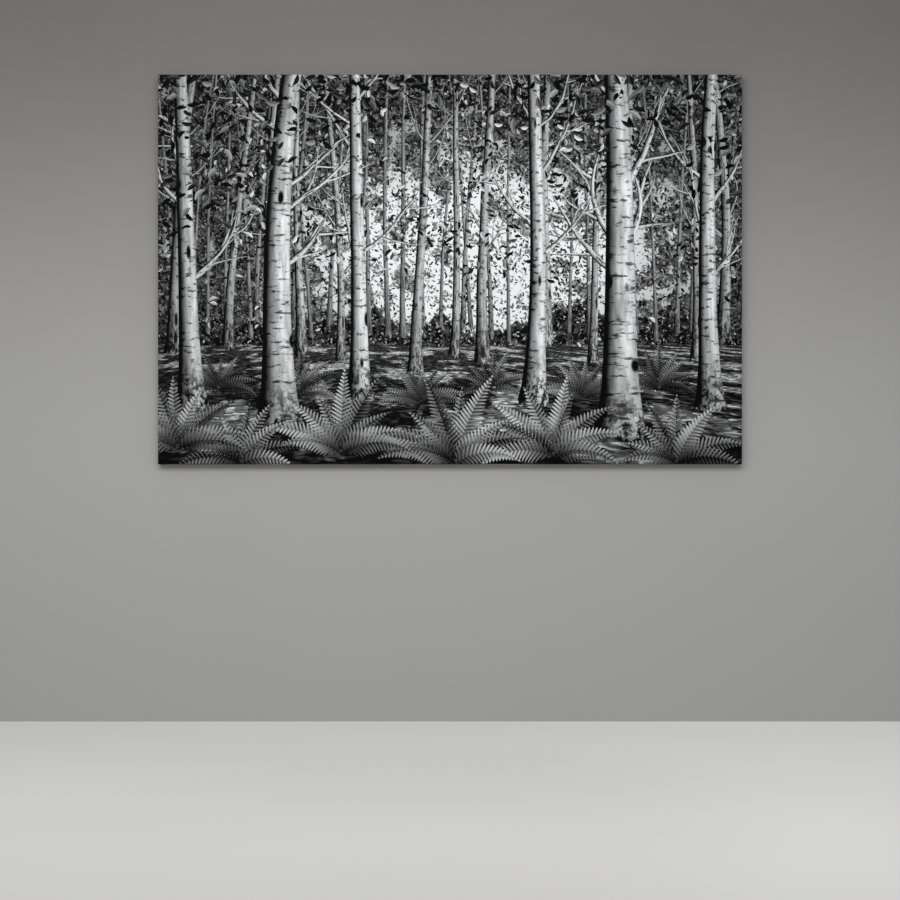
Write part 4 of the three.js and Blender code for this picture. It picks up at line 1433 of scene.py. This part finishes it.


# %% [markdown]
# ## The room
# The floor is plain and pale, and the wall behind the picture is painted mid grey, with painted shade
# that darkens it towards the top. A wall would hide the picture in a view from behind. It could be left
# out, but its grey and its soft shadow set the picture off. So it is seen from the front only. Both are
# backdrop, not object.

# %% Floor and wall
FLOOR = -2.64  # the height of the floor
WALL_TOP = 4.0
ROOM = 9.0  # how far the wall and the floor reach to either side
WALL_GAP = 1.5 * MM
# The wall's grey low down, and the darker grey towards the top that is painted shade.
WALL_GREY_UNSHADED = (0.330, 0.326, 0.318, 1)
WALL_GREY_IN_PAINTED_SHADE = (0.128, 0.122, 0.114, 1)
FLOOR_DARK = (0.52, 0.51, 0.49, 1)
FLOOR_LIGHT = (0.56, 0.55, 0.53, 1)


def plane(name, corners, material):
    """A flat backdrop."""
    obj = make_object(name, corners, [(0, 1, 2, 3)], [material], smooth=False)
    return obj


def wall_paint_and_painted_shade():
    """A painted backdrop, darker towards the top as painted shade, with nothing at all to see from behind."""
    material, g, shader = new_material("wall_paint_and_painted_shade")
    place = g.add("TexCoord").outputs["Object"]
    cloud = g.noise(place, 1.7, 2.0, flat=False)
    # Painted shade: the grey darkens towards the top, where the room's light falls off, with a faint random
    # cloud.
    height = g.between(g.split(place, "z")[0], -1.7, 0.45)
    tone = g.math("ADD", height, g.math("MULTIPLY_ADD", cloud, 0.08, -0.04), clamp=True)
    g.feed(shader.inputs["Base Color"], g.mix_colour(tone, WALL_GREY_UNSHADED, WALL_GREY_IN_PAINTED_SHADE))
    g.relief(shader, g.noise(place, 420.0, 2.0, flat=False), 0.15, 0.3 * MM)
    shader.inputs["Roughness"].default_value = 0.85
    clear = g.add("BsdfTransparent")
    behind = g.add("NewGeometry").outputs["Backfacing"]
    either = g.add("MixShader")
    for socket, value in zip(either.inputs, (behind, shader.outputs[0], clear.outputs[0])):
        g.feed(socket, value)
    output = next(node for node in g.tree.nodes if node.type == "OUTPUT_MATERIAL")
    g.feed(output.inputs["Surface"], either.outputs[0])
    return material


def floor_finish():
    """A pale floor with faint clouds."""
    material, g, shader = new_material("pale_floor")
    place = g.add("TexCoord").outputs["Object"]
    cloud = g.noise(place, 0.8, 3.0, flat=False)
    g.feed(shader.inputs["Base Color"], g.mix_colour(cloud, FLOOR_DARK, FLOOR_LIGHT))
    shader.inputs["Roughness"].default_value = 0.6
    return material


square = np.array([[-ROOM, -ROOM], [ROOM, -ROOM], [ROOM, ROOM], [-ROOM, ROOM]])
wall_points = [(x, WALL_GAP, FLOOR if z < 0 else WALL_TOP) for x, z in square]
wall = plane("wall", wall_points, wall_paint_and_painted_shade())
plane("floor", [(x, y, FLOOR) for x, y in square], floor_finish())
# The wall takes the picture's shadow, and lets the light through that falls on the back from behind it.
wall.visible_shadow = False
wall.visible_diffuse = False
wall.visible_glossy = False
print("wall at", WALL_GAP, "floor at", FLOOR)


# %% [markdown]
# ## The light
# The photo's room has broad soft light from above and in front, which leaves a soft shadow under and
# beside the picture. One wide lamp gives that, and a smaller one lights the back when it is looked at.
# The even light of the world fills in. An image of a real sky or studio could do it all at once, but two
# lamps show plainly where the light comes from.


# %% The two lamps and the world
def area_light(name, place, target, size, power):
    """A flat lamp of this size and power at a place, facing the target."""
    data = bpy.data.lights.new(name, "AREA")
    data.shape = "RECTANGLE"
    data.size, data.size_y = size
    data.energy = power
    light = bpy.data.objects.new(name, data)
    light.location = place
    light.rotation_euler = (Vector(target) - Vector(place)).to_track_quat("-Z", "Y").to_euler()
    bpy.context.scene.collection.objects.link(light)


area_light("key", place=(-0.45, -3.7, 0.5), target=(0, 0, -1.3), size=(4.4, 1.6), power=125)
area_light("behind", place=(2.4, 3.4, 1.2), target=(0, 0, CENTRE[1]), size=(2.2, 1.8), power=46)
world = bpy.data.worlds.new("world")
world.use_nodes = True
background = world.node_tree.nodes["Background"]
background.inputs["Color"].default_value = (0.94, 0.96, 1.0, 1)
background.inputs["Strength"].default_value = 0.62
bpy.context.scene.world = world
bpy.context.scene.view_settings.view_transform = "Standard"
